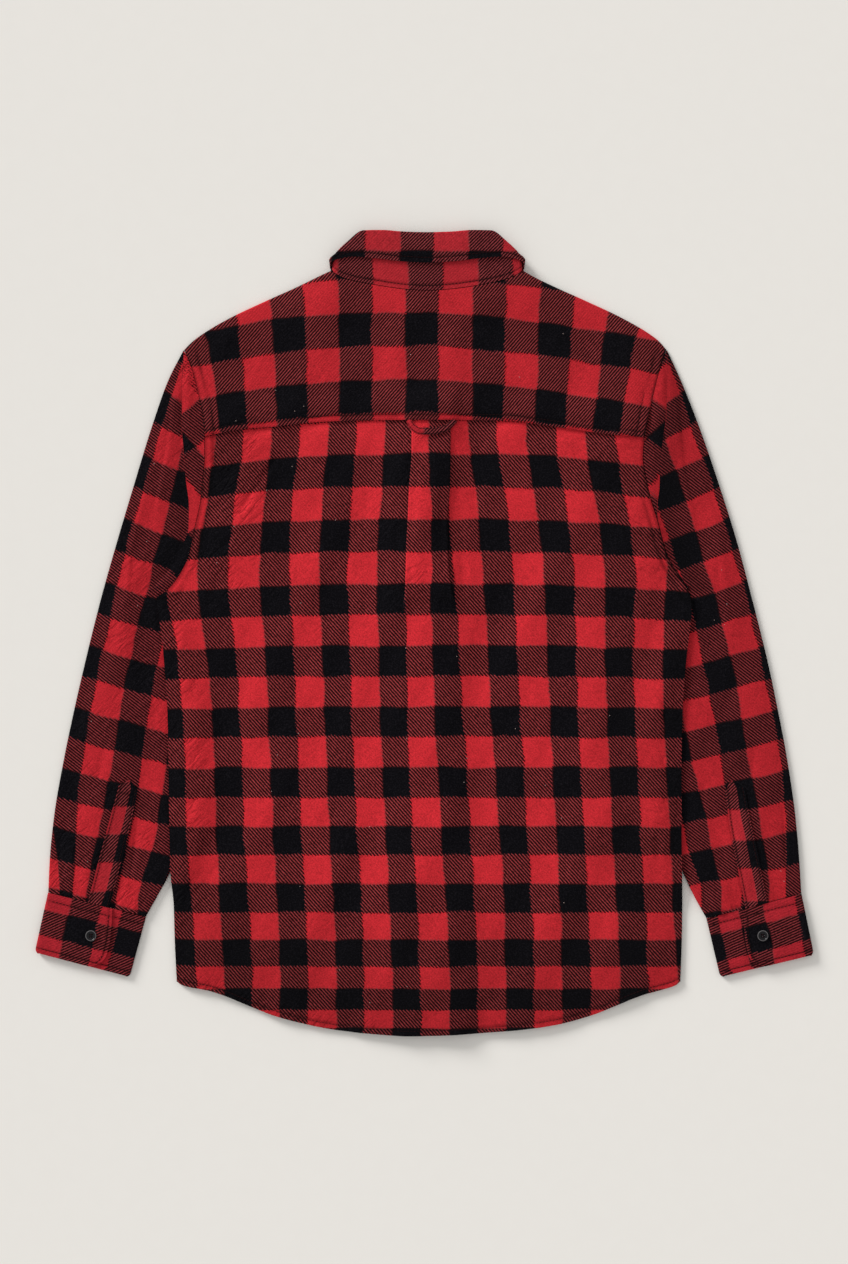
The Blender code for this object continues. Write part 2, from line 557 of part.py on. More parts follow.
def make_sleeve(name, rows, side, colour):
    """A sleeve: a flattened tube of rings from the armhole seam to the cuff."""
    stations = np.array((0, 0.25, 0.5, 0.8, 1.1, 1.4, 2, 3, 4, 5, 6, 7, 7.8, 8.5, 9.2, 9.8, 10.4, 11))
    upper = (np.array((368, 384, 399, 416) + ARMHOLE_ROWS[:-1]) - 350) / (UNDERARM_DOWN - 350)
    lower = upper[::-1][::2]
    rings = []
    for station in stations:
        across_end, down_end = sleeve_place(rows, side, station, np.array((0.0, 1.0)))
        width = math.hypot(across_end[1] - across_end[0], down_end[1] - down_end[0])
        edge_top = sleeve_top(rows, station, np.array((0.02, 0.98)))
        radius = (edge_top - FLOOR_LAYER) / 2
        angles = np.radians((-90, -30, 30, 90))
        outer_share = (CLOTH / 2 + radius[0] * (1 - np.cos(angles))) / width
        inner_share = 1 - (CLOTH / 2 + radius[1] * (1 - np.cos(angles[::-1]))) / width
        outer_height = FLOOR_LAYER + radius[0] * (1 + np.sin(angles))
        inner_height = FLOOR_LAYER + radius[1] * (1 + np.sin(angles[::-1]))
        share = np.concatenate((outer_share, upper, inner_share, lower))
        height = np.concatenate((outer_height, sleeve_top(rows, station, upper), inner_height,
                                 np.full(len(lower), FLOOR_LAYER)))
        across, down = sleeve_place(rows, side, station, share)
        under = sleeve_place(rows, side, max(station, 0.05), lower)
        across[-len(lower):], down[-len(lower):] = under
        rings.append(grid(across, down, height))
    cloth(name, np.array(rings), colour, ring=True)


def on_sleeve(rows, side, across, down):
    """Height of a sleeve's upper layer under a place, found by Newton's steps on its surface."""
    station = np.full(np.shape(across), 9.0)
    share = np.full(np.shape(across), 0.5)
    nudge = 0.001
    for _ in range(25):
        here = sleeve_place(rows, side, station, share)
        by_station = sleeve_place(rows, side, station + nudge, share)
        by_share = sleeve_place(rows, side, station, share + nudge)
        along = [(there - now) / nudge for there, now in zip(by_station, here)]
        aside = [(there - now) / nudge for there, now in zip(by_share, here)]
        miss = (across - here[0], down - here[1])
        area = along[0] * aside[1] - along[1] * aside[0]
        station = np.clip(station + (miss[0] * aside[1] - miss[1] * aside[0]) / area, 0.1, 10.99)
        share = np.clip(share + (along[0] * miss[1] - along[1] * miss[0]) / area, 0.01, 0.99)
    return sleeve_top(rows, station, share)


def strip_frame(path_across, path_down):
    """Unit vectors across a path on the table, at each of its points."""
    along = np.stack((np.gradient(path_across), np.gradient(path_down)), axis=1)
    along = along / np.linalg.norm(along, axis=1, keepdims=True)
    return np.stack((-along[:, 1], along[:, 0]), axis=1)


def make_sleeve_placket(name, strip, rows, side, colour):
    """A sleeve placket: a pointed strip made from the sleeve's points, moved out by one layer."""
    run = np.array((0, 0.035, 0.07, 0.15, 0.3, 0.45, 0.6, 0.75, 0.88, 1.0))
    across = look_up(strip, "run", "across", run)
    down = look_up(strip, "run", "down", run)
    half = look_up(strip, "run", "half", run)
    aside = strip_frame(across, down)
    share = np.array((-1, -0.5, 0, 0.5, 1))
    place_across = across[:, None] + aside[:, :1] * half[:, None] * share
    place_down = down[:, None] + aside[:, 1:] * half[:, None] * share
    last_row = CUFF_TOP_ROW[side]
    place_down[-1] = last_row(place_across[-1]) - SEAM
    height = on_sleeve(rows, side, place_across, place_down) + STEP + 0.05
    cloth(name, grid(place_across, place_down, height), colour)


def cuff_top_line(rows):
    """Down place of a cuff's upper edge at an across place."""
    first_across, last_across = rows["outer_across"][0], rows["inner_across"][0]
    first_down, last_down = rows["outer_down"][0], rows["inner_down"][0]
    return lambda across: blend(first_down, last_down, (across - first_across) / (last_across - first_across))


CUFF_TOP_ROW = {"left": cuff_top_line(CUFF_LEFT), "right": cuff_top_line(CUFF_RIGHT)}


def cuff_layers():
    """Heights of the middles of a cuff's bottom layer, under end and lap."""
    bottom = CUFF_CLOTH / 2
    under = bottom + CUFF_CLOTH + 0.4
    return bottom, under, under + CUFF_CLOTH + 0.4


def make_cuff(name, rows, colour):
    """A cuff: one strip that starts under its lap, runs round the wrist and ends on the lap.

    Its runs are worked out on its upper and lower edge, and each ring lies straight between them.
    """
    bottom, under, lap = cuff_layers()
    small, large = (under - bottom) / 2, (lap - bottom) / 2
    angles = np.radians((90, 30, -30, -90))
    height = np.concatenate((np.full(4, under), (under + bottom) / 2 + small * np.sin(angles),
                             np.full(3, bottom), (lap + bottom) / 2 + large * np.sin(angles[::-1]),
                             np.full(5, lap)))
    rings = []
    for depth in CUFF_LAP["depth"]:
        trim = float(look_up(CUFF_LAP, "depth", "trim", depth))
        lap_end = float(look_up(CUFF_LAP, "depth", "end", depth))
        edges = []
        for place in range(2):
            ends = [rows[column][place]
                    for column in ("outer_across", "outer_down", "inner_across", "inner_down")]
            width = math.hypot(ends[2] - ends[0], ends[3] - ends[1])
            inner = (width - trim - CUFF_CLOTH / 2) - small * (1 - np.cos(angles))
            outer = trim + CUFF_CLOTH / 2 + large * (1 - np.cos(angles[::-1]))
            start = blend(0.27 * width, inner[0], np.array((0, 0.3, 0.55, 0.8)))
            beneath = blend(inner[-1], outer[0], np.array((0.25, 0.5, 0.75)))
            over = blend(outer[-1], lap_end * width, np.array((0.2, 0.45, 0.7, 0.88, 1)))
            share = np.concatenate((start, inner, beneath, outer, over)) / width
            edges.append(grid(blend(ends[0], ends[2], share), blend(ends[1], ends[3], share), height))
        rings.append(blend(edges[0], edges[1], depth))
    cloth(name, np.array(rings), colour, thickness=CUFF_CLOTH)


def collar_stations():
    """Both halves of the collar table: side from -1, left front end, through 0 to 1, right end."""
    both = np.concatenate((-COLLAR["side"][:0:-1], COLLAR["side"]))
    values = {name: np.concatenate((COLLAR[name][:0:-1], COLLAR[name])) for name in COLLAR}
    sign = np.where(both < 0, -1, 1)
    for name in ("base_across", "top_across", "edge_across"):
        values[name] = COLLAR_CENTRE + sign * values[name]
    values["side"] = both
    return values


def collar_ring():
    """Places along the collar: table values at each station, and its layer's middle and outward turn."""
    ring = collar_stations()
    side = np.array((-1, -0.97, -0.94, -0.9, -0.86, -0.81, -0.76, -0.72, -0.68, -0.655, -0.63, -0.61, -0.59,
                     -0.565, -0.54, -0.5, -0.46, -0.41, -0.36, -0.24, -0.12))
    side = np.concatenate((side, (0,), -side[::-1]))
    read = {name: smooth(side, ring["side"], ring[name]) for name in ring if name != "turn"}
    turn = np.radians(np.interp(side, ring["side"], ring["turn"]))
    on_back = look_up(NECK_BACK, "across", "down", read["base_across"])
    on_front = look_up(NECK_FRONT, "across", "down", read["base_across"])
    read["base_down"] = np.where(np.abs(side) <= 0.54, on_back,
                                 np.where(np.abs(side) >= 0.76, on_front, read["base_down"]))
    rise = np.where(side < 0, OUTER_BAND_RISE, UNDER_BAND_RISE)
    front = front_level(read["base_across"], read["base_down"], rise)
    back = FLOOR_LAYER + STEP + 1.1 + CENTRE_RISE
    centre, radius = (front + back) / 2, (back - front) / 2
    sign = np.where(side < 0, -1, 1)
    return side, read, centre, radius, sign * np.sin(turn), np.cos(turn)


def make_stand(colour):
    """The collar stand: a flattened ring from the neck seam up to the fall, open at the front."""
    side, read, centre, radius, out_across, out_up = collar_ring()
    run = np.array((0, 0.5, 1))[:, None]
    reach = np.hypot(read["top_across"] - read["base_across"], read["top_down"] - read["base_down"])
    stop = 1 - np.minimum(5.8, reach * 0.52) / reach
    across = blend(read["base_across"], read["top_across"], run * stop)
    from_seam = np.where(np.abs(side) > 0.6, 1.1, SEAM)
    end_down = blend(read["base_down"], read["top_down"], stop)
    down = blend(read["base_down"] - from_seam, end_down, run)
    height = centre + radius * out_up + 0 * run
    cloth("collar_stand", grid(across, down, height), colour)


def make_fall(colour):
    """The collar fall: a short flange on the stand, the roll over its top, and the leaf outside it."""
    side, read, centre, radius, out_across, out_up = collar_ring()
    keep = np.abs(side) < 0.975
    side, centre, radius = side[keep], centre[keep], radius[keep]
    out_across, out_up = out_across[keep], out_up[keep]
    read = {name: values[keep] for name, values in read.items()}
    top = np.stack((read["top_across"], read["top_down"] + CLOTH / 2), axis=1)
    base = np.stack((read["base_across"], read["base_down"]), axis=1)
    edge = np.stack((read["edge_across"], read["edge_down"]), axis=1)
    reach = np.linalg.norm(base - top, axis=1, keepdims=True)
    to_base = (base - top) / reach
    to_edge = (edge - top) / np.linalg.norm(edge - top, axis=1, keepdims=True)
    flange = np.minimum(5.5, reach * 0.40) - SEAM - CLOTH / 2
    layer = centre + radius * out_up
    leaf = np.where(out_up > 0, layer + COLLAR_ROLL * out_up, layer + (layer - FLOOR_LAYER) * out_up)
    roll = np.abs(leaf - layer) / 2 + 0.9 * (1 - np.abs(out_up))
    sideways = 3.1 * out_across
    rows = [np.column_stack((top + to_base * flange, layer))]
    for angle in np.radians((0, 45, 90, 135, 180)):
        turn_in = (1 - math.sin(angle)) * roll[:, None]
        direction = to_base if angle < math.pi / 2 else to_edge
        place = top + direction * turn_in
        share = (1 - math.cos(angle)) / 2
        rows.append(np.column_stack((place[:, 0] + sideways * share, place[:, 1],
                                     blend(layer, leaf, share))))
    for run in (0.45, 0.85, 1.0):
        start = top + to_edge * roll[:, None]
        place = blend(start, edge, run)
        rows.append(np.column_stack((place[:, 0] + sideways * (1 - run), place[:, 1], leaf)))
    cloth("collar_fall", np.array(rows), colour)


def make_loop(colour):
    """The locker loop: a narrow folded strip hanging from the yoke seam over the box pleat."""
    run = np.linspace(0, 1, 13)
    across = look_up(LOOP, "run", "across", run)
    down = look_up(LOOP, "run", "down", run)
    aside = strip_frame(across, down)
    half = 3.1
    share = np.array((-1, 0, 1))
    place_across = across[:, None] + aside[:, :1] * half * share
    place_down = np.maximum(down[:, None] + aside[:, 1:] * half * share, 421.2)
    pleat_top = 4 * pleat_radius() * pleat_cover(place_across, place_down)
    height = back_level(place_across, place_down) + pleat_top + STEP + 0.2
    cloth("locker_loop", grid(place_across, place_down, height), colour, thickness=1.4)


def make_button(name, across, down, low, face_up, colour):
    """A round button: a dished face inside a rolled rim, turned about its middle."""
    profile = table(
        "radius height",
        (0.88, 0.0), (1.0, 0.45), (0.88, 1.0), (0.66, 0.74))
    around = np.linspace(0, 2 * math.pi, 14, endpoint=False)
    rings = []
    for radius, height in zip(profile["radius"], profile["height"]):
        level = height if face_up else 1 - height
        rings.append(grid(across + BUTTON_RADIUS * radius * np.cos(around),
                          down + BUTTON_RADIUS * radius * np.sin(around),
                          low + BUTTON_HEIGHT * level))
    points = np.concatenate(rings)
    count = len(around)
    faces = [tuple(range(count)), tuple(range(len(points) - 1, len(points) - count - 1, -1))]
    for ring in range(len(rings) - 1):
        for spoke in range(count):
            after = (spoke + 1) % count
            faces.append((ring * count + spoke, ring * count + after,
                          (ring + 1) * count + after, (ring + 1) * count + spoke))
    closed_solid(name, points, faces, colour)


def main():
    """Build every piece of the shirt."""
    for thing in list(bpy.data.objects):
        bpy.data.objects.remove(thing)
    body = finish("flannel_body", (0.30, 0.030, 0.038), 0.92)
    yoke = finish("flannel_yoke", (0.34, 0.034, 0.042), 0.92)
    sleeves = finish("flannel_sleeves", (0.27, 0.028, 0.036), 0.92)
    trims = finish("flannel_trims", (0.36, 0.038, 0.045), 0.90)
    horn = finish("black_button", (0.012, 0.012, 0.014), 0.35)

    make_back(body)
    make_yoke(yoke)
    make_front("front_left", "left", OUTER_BAND_RISE, body)
    make_front("front_right", "right", UNDER_BAND_RISE, body)
    make_band("placket_left", OUTER_BAND_RISE, trims)
    make_band("placket_right", UNDER_BAND_RISE, trims)
    make_stand(trims)
    make_fall(trims)
    make_loop(trims)
    make_sleeve("sleeve_left", SLEEVE_LEFT, "left", sleeves)
    make_sleeve("sleeve_right", SLEEVE_RIGHT, "right", sleeves)
    make_sleeve_placket("sleeve_placket_left", SLEEVE_PLACKET_LEFT, SLEEVE_LEFT, "left", trims)
    make_sleeve_placket("sleeve_placket_right", SLEEVE_PLACKET_RIGHT, SLEEVE_RIGHT, "right", trims)
    make_cuff("cuff_left", CUFF_LEFT, trims)
    make_cuff("cuff_right", CUFF_RIGHT, trims)
    cuff_face = cuff_layers()[2] + CUFF_CLOTH / 2 + GAP
    make_button("cuff_button_left", 91.7, 935.0, cuff_face, True, horn)
    make_button("cuff_button_right", 762.0, 935.0, cuff_face, True, horn)
    front_buttons = [328.0] + [376.0 + 89.0 * place for place in range(7)]
    for number, down in enumerate(front_buttons, 1):
        make_button(f"front_button_{number}", BAND_CENTRE, down, 0.0, False, horn)


main()
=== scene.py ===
"""The flannel shirt, laid flat with its back up, dressed on the shared frame.

Every cloth piece is a closed wall worked out with numpy from its middle surface: a grid of points whose
across and down places come from the cut's edges and whose height is the layer it lies on, plus soft
folds, seam welts and stitch grooves. Places are in millimetres on the laying table, as in the part's
source, and in_metres moves them to the frame.
"""
import math
from functools import partial

import bpy
import numpy as np
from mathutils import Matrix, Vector

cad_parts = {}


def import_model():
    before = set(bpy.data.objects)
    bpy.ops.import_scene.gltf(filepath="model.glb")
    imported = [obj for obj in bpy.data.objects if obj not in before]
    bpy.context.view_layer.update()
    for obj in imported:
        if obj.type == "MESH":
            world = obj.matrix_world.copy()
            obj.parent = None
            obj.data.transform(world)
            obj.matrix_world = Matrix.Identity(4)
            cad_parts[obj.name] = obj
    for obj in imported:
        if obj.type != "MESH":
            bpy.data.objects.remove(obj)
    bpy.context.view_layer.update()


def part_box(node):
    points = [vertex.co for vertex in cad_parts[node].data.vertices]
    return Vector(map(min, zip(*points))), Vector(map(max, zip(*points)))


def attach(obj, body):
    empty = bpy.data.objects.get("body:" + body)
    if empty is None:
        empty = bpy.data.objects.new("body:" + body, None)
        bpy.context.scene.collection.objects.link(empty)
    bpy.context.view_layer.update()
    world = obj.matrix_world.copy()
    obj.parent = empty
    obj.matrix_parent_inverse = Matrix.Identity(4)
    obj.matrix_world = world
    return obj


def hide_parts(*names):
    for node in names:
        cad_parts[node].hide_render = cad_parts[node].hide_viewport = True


SIDES = ("left", "right")
INWARD = {"left": 1, "right": -1}
CORNERS = ("outer_across", "outer_down", "inner_across", "inner_down")
UP = np.array((0.0, 0.0, 1.0))
MM = 0.001

# Lengths and places below are in millimetres on the laying table.
PHOTO_WIDTH, PHOTO_HEIGHT = 848, 1264
MIDDLE_ACROSS = 424.38
MIDDLE_DOWN = 633.15
CLOTH = 1.2
CUFF_CLOTH = 1.6
GAP = 0.3
SEAM = 0.45
SLEEVE_SEAM = 0.6
STEP = CLOTH + GAP
FLOOR_LAYER = CLOTH / 2
BAND_WIDTH = 35.0
BAND_CENTRE = 426.0
BUTTON_RADIUS = 5.6
BUTTON_HEIGHT = 2.2
OUTER_BAND_RISE = BUTTON_HEIGHT + GAP
UNDER_BAND_RISE = OUTER_BAND_RISE + STEP
CENTRE_RISE = UNDER_BAND_RISE
BAND_RISE = {"left": OUTER_BAND_RISE, "right": UNDER_BAND_RISE}
STAND_LEVEL = FLOOR_LAYER + STEP + 1.1 + CENTRE_RISE
COLLAR_CENTRE = 427.2
COLLAR_HALF = 97.0
COLLAR_ROLL = 2.1
SHOULDER_DOWN = 350.0
SIDE_END_DOWN = 981.0
YOKE_END_DOWN = 436.0
BACK_TOP_DOWN = 428.5
YOKE_FRONT_DOWN = 388.0
NECK_POINT_DOWN = 310.5
YOKE_TUCK = 8.0
SLEEVE_UNDER_BODY = 3.9
PLEAT_MIDDLE = 430.0
PLEAT_RADIUS = (CLOTH + 0.5) / 2
FRONT_HEM_INSET = 3.0
UNDERARM_DOWN = 598.0
UNDERARM_BEND = 88.0
THREAD_LENGTH = 2.6
THREAD_PITCH = 3.4
THREAD_RADIUS = 0.33
THREAD_LIFT = 0.02
LOOP_CLOTH = 1.4
ALLOWANCE_CLOTH = 0.35

# How far inside their edges the stitch lines lie.
ARMHOLE_LINES = (0.0, 8.5)
HEM_STITCHES = 5.0
YOKE_STITCHES = (1.0, 5.5)
CUFF_STITCHES = (7.5, 5.0)
STAND_STITCHES = 4.5
FALL_STITCHES = 5.0

# The check: its bands on hidden cloth and the yoke's rows; and each sleeve's painted shade: how much deeper
# its tone is made all over, and beside its armhole seam under the body's edge.
CHECK_COLUMN, CHECK_ROW, YOKE_ROW = 29.0, 31.0, 33.7
SLEEVE_SHADE = {"left": (0.0, 0.2), "right": (0.13, 0.5)}

# Counts of rows and columns that the stitch lines find again on the collar and the cuffs.
STAND_ROWS, ROLL_ROWS, LEAF_ROWS = 22, 13, 25
CUFF_UNDER, CUFF_TURN, CUFF_BENEATH, CUFF_OVER = 27, 11, 28, 43
CUFF_FIRST_OVER = CUFF_UNDER + 2 * CUFF_TURN + CUFF_BENEATH
CUFF_DEPTHS = np.concatenate((np.linspace(0, 0.9, 34), 1 - 0.1 * (1 - np.linspace(0, 1, 13)[1:]) ** 1.6))


def sides(columns, left, right):
    """The same short table for the left and the right side."""
    return {"left": table(columns, *left), "right": table(columns, *right)}


def table(columns, *rows):
    """A short table: the names of its columns, then one row for each section."""
    values = np.array(rows, float)
    return {name: values[:, place] for place, name in enumerate(columns.split())}


SIDE = table(
    "down left right",
    (350, 184.5, 666), (368, 192, 659.5), (384, 196.5, 655), (399, 200, 651.5), (416, 203.5, 648),
    (436, 205, 644), (457, 205, 642.5), (480, 203, 646), (501, 201, 651), (520, 197, 657),
    (540, 192.5, 662), (556, 189, 667), (571, 182, 675), (584, 173.5, 683.5), (592, 166, 688),
    (598, 157, 690.5), (612, 159, 691), (628, 161, 689.5), (648, 163.5, 687), (667, 165, 685),
    (711, 168, 682), (763, 169, 681), (833, 170, 681), (871, 171, 681.5), (905, 174, 682),
    (940, 175, 681.5), (981, 177, 680))
SHOULDER = sides(
    "across down",
    ((184.5, 350), (195, 340), (227, 320), (269, 300), (296, 288), (321, 276), (331, 271.5)),
    ((523.5, 271.5), (531, 276), (556, 288), (583, 300), (625, 320), (657, 340), (666, 350)))
NECK_BACK = table(
    "across down",
    (331, 271.5), (344, 279), (371, 285), (408, 290.3), (427.2, 291.3), (446.4, 290.3), (483.4, 285.2),
    (509, 279), (523.5, 271.5))
NECK_FRONT = table(
    "across down",
    (331, 271.5), (341, 310.5), (352, 329), (376, 343), (408, 348), (427, 348.3), (446, 348), (478, 343),
    (502, 329), (513.5, 310.5), (523.5, 271.5))
YOKE_SEAM = table(
    "across down",
    (204, 436.5), (246, 429), (280, 426.5), (310, 423), (340, 421.3), (372, 420.5), (480, 420.5),
    (505, 420.8), (545, 425.7), (582, 431), (612, 435), (644, 437.5))
HEM = table(
    "across down",
    (177, 981), (183, 985), (208, 990), (224, 995), (248, 1005), (274, 1015), (312, 1025), (340, 1030),
    (375, 1033.5), (409, 1035.3), (460, 1033.6), (513, 1030), (552, 1025), (591, 1015), (616, 1005),
    (641, 995), (659, 990), (675, 985), (680, 981))
PLEAT = table(
    "down left right tuck turn",
    (410, 413, 449, 15, 180), (454, 413, 449, 15, 180), (487, 410.5, 448.5, 13.5, 180),
    (522, 409, 446, 10, 180), (554, 407.5, 446.5, 5.5, 180), (585, 407, 449, 2.4, 130),
    (618, 407, 452, 2, 0), (1040, 412, 450, 2, 0))
SLEEVE = sides(
    "station outer_across outer_down inner_across inner_down height",
    ((0, 184.2, 350, 156.4, 598, 2.7), (1, 169, 380, 155.8, 611, 3.2), (2, 152, 428, 158, 628, 3.5),
     (3, 136, 480, 165, 650, 3.6), (4, 118, 540, 177, 682, 3.6), (5, 101, 600, 186, 722, 3.6),
     (6, 86, 660, 190, 762, 3.6), (7, 74, 712, 188, 800, 3.6), (8, 64, 760, 181, 836, 3.6),
     (9, 54.5, 815, 171, 870, 3.7), (10, 50, 860, 158, 895, 4), (11, 48.6, 891.8, 146.2, 916, 4.2)),
    ((0, 666.3, 350, 691.5, 598, 2.7), (1, 680, 380, 692.5, 611, 3.2), (2, 699, 428, 691.4, 628, 3.5),
     (3, 717, 480, 685, 650, 3.6), (4, 736, 540, 672, 682, 3.6), (5, 752, 600, 663, 722, 3.6),
     (6, 767, 660, 659, 762, 3.6), (7, 778, 712, 661, 800, 3.6), (8, 787, 760, 669, 836, 3.6),
     (9, 795, 815, 681.8, 870, 3.7), (10, 799, 860, 694, 896, 4), (11, 801, 893.2, 706, 917.6, 4.2)))
CUFF = sides(
    "depth outer_across outer_down inner_across inner_down",
    ((0, 48.4, 892.3, 146.2, 916.6), (1, 35.2, 951.6, 130, 976.6)),
    ((0, 801.2, 893.7, 706.2, 918.2), (1, 813.5, 954, 720, 976.6)))
CUFF_LAP = table(
    "depth end trim",
    (0, 0.61, 0), (0.3, 0.646, 0), (0.6, 0.668, 0), (0.75, 0.668, 0), (0.86, 0.645, 0), (0.93, 0.605, 0),
    (0.97, 0.566, 0.7), (1, 0.52, 2.4))
SLEEVE_FOLDS = table(
    "place width depth first last",
    (0.267, 0.05, -0.7, 8.6, 11.4), (0.66, 0.05, -0.9, 7.9, 11.4), (0.834, 0.04, 0.7, 8.4, 11.4),
    (0.37, 0.06, 0.5, 8.8, 11.4))
BODY_FOLDS = table(
    "across down length width depth lean",
    (246, 470, 60, 9, 0.7, 0.45), (232, 620, 90, 12, 0.6, 0.25), (200, 760, 120, 10, 0.7, 0.1),
    (216, 870, 90, 12, 0.6, 0.2), (655, 770, 150, 7, 0.7, -0.03), (640, 620, 80, 10, 0.6, -0.2),
    (600, 500, 60, 10, 0.5, -0.35), (330, 700, 160, 26, 0.5, 0.05), (520, 690, 170, 26, 0.5, -0.04))
SLEEVE_PLACKET = sides(
    "run across down half",
    ((0, 130, 780.5, 1.5), (0.07, 128.5, 788, 9.5), (0.3, 121, 820, 10.5), (0.6, 112, 855, 11),
     (0.85, 103.5, 888, 11), (1, 98.9, 903.6, 11)),
    ((0, 732, 780.5, 1.5), (0.07, 734, 788, 9.5), (0.3, 739, 820, 10.5), (0.6, 746, 855, 11),
     (0.85, 753, 890, 11), (1, 755.8, 904.2, 11)))
LOOP = table(
    "run across down",
    (0, 408.5, 420.8), (0.2, 413, 427.8), (0.4, 420.5, 431.8), (0.6, 433, 431.9), (0.8, 446.5, 428.6),
    (1, 455, 420.8))
COLLAR = table(
    "side turn base_across base_down top_across top_down edge_across edge_down",
    (0, 0, 0, 291, 0, 233.2, 0, 263.6), (0.12, 0, 22, 290, 23, 232.6, 26, 262.3),
    (0.24, 0, 46, 286.4, 45, 231, 50, 259.5), (0.36, 0, 68, 281.9, 63.5, 231.3, 74, 257.6),
    (0.46, 0, 84, 278, 79.5, 242.6, 88, 259.8), (0.54, 0, 92, 273.4, 91, 254.2, 96, 263.8),
    (0.59, 100, 94.2, 271.1, 94, 259.6, 96.6, 267), (0.63, 180, 93.6, 272.5, 93.6, 262.5, 96.6, 269.6),
    (0.68, 180, 91.4, 286, 89, 267, 92, 292), (0.76, 180, 85.2, 311, 74, 281, 74, 332),
    (0.86, 180, 66, 334, 52, 298, 55, 366), (0.94, 180, 40, 344.6, 30, 307, 42, 350),
    (1, 180, -14, 347.2, -14, 310, 14, 312))
CREASES = table(
    "across down length width depth lean",
    (193, 693, 26, 2, -0.5, -0.35), (200, 697, 24, 2.2, -0.4, -0.85), (199, 751, 28, 2, -0.55, -0.7),
    (206, 764, 20, 2.2, -0.35, -0.6), (176, 655, 110, 3.5, -0.5, 0.02), (207, 846, 44, 3.5, -0.5, -0.55),
    (214, 872, 36, 3, -0.4, -0.6), (196, 800, 40, 4, -0.4, -0.5), (186, 905, 44, 4, -0.4, -0.3),
    (268, 470, 44, 3.4, -0.7, -0.7), (246, 502, 44, 3.4, -0.6, -0.6), (226, 478, 34, 3, -0.5, -0.95),
    (227, 543, 30, 3.2, -0.5, -0.8), (300, 474, 40, 5, -0.35, -0.5), (215, 588, 50, 4.5, -0.4, -0.35),
    (664, 716, 60, 3, -0.6, 0.05), (668, 790, 70, 3, -0.6, 0.02), (658, 846, 60, 3, -0.5, -0.05),
    (672, 880, 70, 3, -0.5, 0.03), (657, 572, 16, 2.4, -0.4, -0.9), (648, 545, 16, 2.4, -0.3, -0.8),
    (622, 478, 44, 5, -0.4, -0.5), (634, 556, 46, 5, -0.4, -0.35), (300, 842, 80, 7, -0.3, -0.35),
    (560, 820, 90, 8, -0.3, -0.25), (398, 560, 120, 5, -0.35, -0.03), (384, 500, 110, 6, -0.3, -0.06),
    (462, 560, 140, 4.5, -0.45, 0.05), (476, 500, 110, 6, -0.3, 0.1), (500, 620, 110, 8, -0.25, 0.05),
    (345, 640, 110, 9, -0.25, -0.1), (250, 940, 60, 6, -0.3, -0.3), (600, 930, 80, 7, -0.3, -0.2))
BODY_CHECK = table(
    "down line1 line4 line8 line9 line11 line13 line16 left_u face_u right_u",
    (440, 215.7, 300.3, 413.3, 428.2, 467.3, 525.6, 614.6, 8.48, 9.73, 10.36),
    (504, 206.6, 292, 409.8, 431.2, 477.5, 535.6, 625, 8.26, 9.92, 9.95),
    (536, 200.3, 291.7, 408, 431, 479.5, 539.7, 631, 8.1, 9.85, 9.85),
    (568, 196.6, 289.4, 405.7, 431.7, 482, 542.5, 635.6, 8.05, 9.8, 9.8),
    (600, 199.1, 291, 405.9, 430.9, 484.4, 544.7, 634.4, 8.04, 9.816, 9.816),
    (663, 208.1, 295, 406.4, 433.4, 488.3, 547.4, 632.8, 8.04, 9.713, 9.713),
    (725, 212.6, 296.7, 408, 435.5, 491.3, 550.1, 635.4, 8.01, 9.567, 9.567),
    (785, 214.7, 299.6, 411, 438.7, 496.2, 553.1, 638, 7.93, 9.44, 9.44),
    (842, 216.3, 302.1, 413.6, 441.5, 499.8, 556.4, 640.9, 7.86, 9.329, 9.329),
    (898, 220.1, 305.8, 416.9, 445.5, 503.6, 559.2, 644, 7.76, 9.18, 9.18),
    (952, 223.1, 308.2, 419.3, 448.6, 505.5, 561.6, 647.1, 7.7, 9.064, 9.064),
    (976, 225, 308, 420.1, 449.6, 505.8, 561.6, 648.5, 7.68, 9.025, 9.025))
BODY_ROWS = table(
    "down row",
    (421, 0), (487, 2), (584, 5), (676, 8), (797, 12), (912, 16), (966, 18), (1009.5, 20), (1027.5, 21),
    (1044, 22))
SLEEVE_LINES = sides(
    "down a b c d",
    ((427, 162.7, 186, 214, 241), (491, 143, 173.6, 199, 226), (554, 125, 156, 183, 211),
     (618, 111, 140, 168.5, 196), (681, 97, 126, 155, 182), (742.5, 86, 115.5, 144, 170),
     (802, 77.5, 105.5, 135.6, 161), (837, 76.3, 97.4, 129.7, 155), (895, 73.3, 86, 116, 138)),
    ((438, 695, 665, 636, 606), (498, 715.5, 685, 655, 625), (561, 735, 704, 676, 648),
     (622, 752, 722, 694, 666), (700, 769, 739, 710, 682), (741, 777, 745, 717.5, 687),
     (785, 782.5, 753.5, 724.3, 698), (816, 786, 759, 731, 706), (849, 786, 764, 736, 712),
     (885, 785, 769, 741, 721)))
SLEEVE_ROWS = sides(
    "down row slope",
    ((427, 0, 0.45), (500, 2.3, 0.38), (554, 4, 0.34), (618, 6, 0.3), (681, 8, 0.27), (742.5, 10, 0.26),
     (802, 12, 0.25), (832, 13, 0.25), (864, 14, 0.25), (893, 15, 0.25)),
    ((425, 0, 0.5), (490, 2, 0.37), (551, 4, 0.33), (615, 6, 0.28), (680, 8, 0.25), (741, 10, 0.23),
     (802, 12, 0.21), (832, 13, 0.21), (866, 14, 0.21), (897, 15, 0.21)))
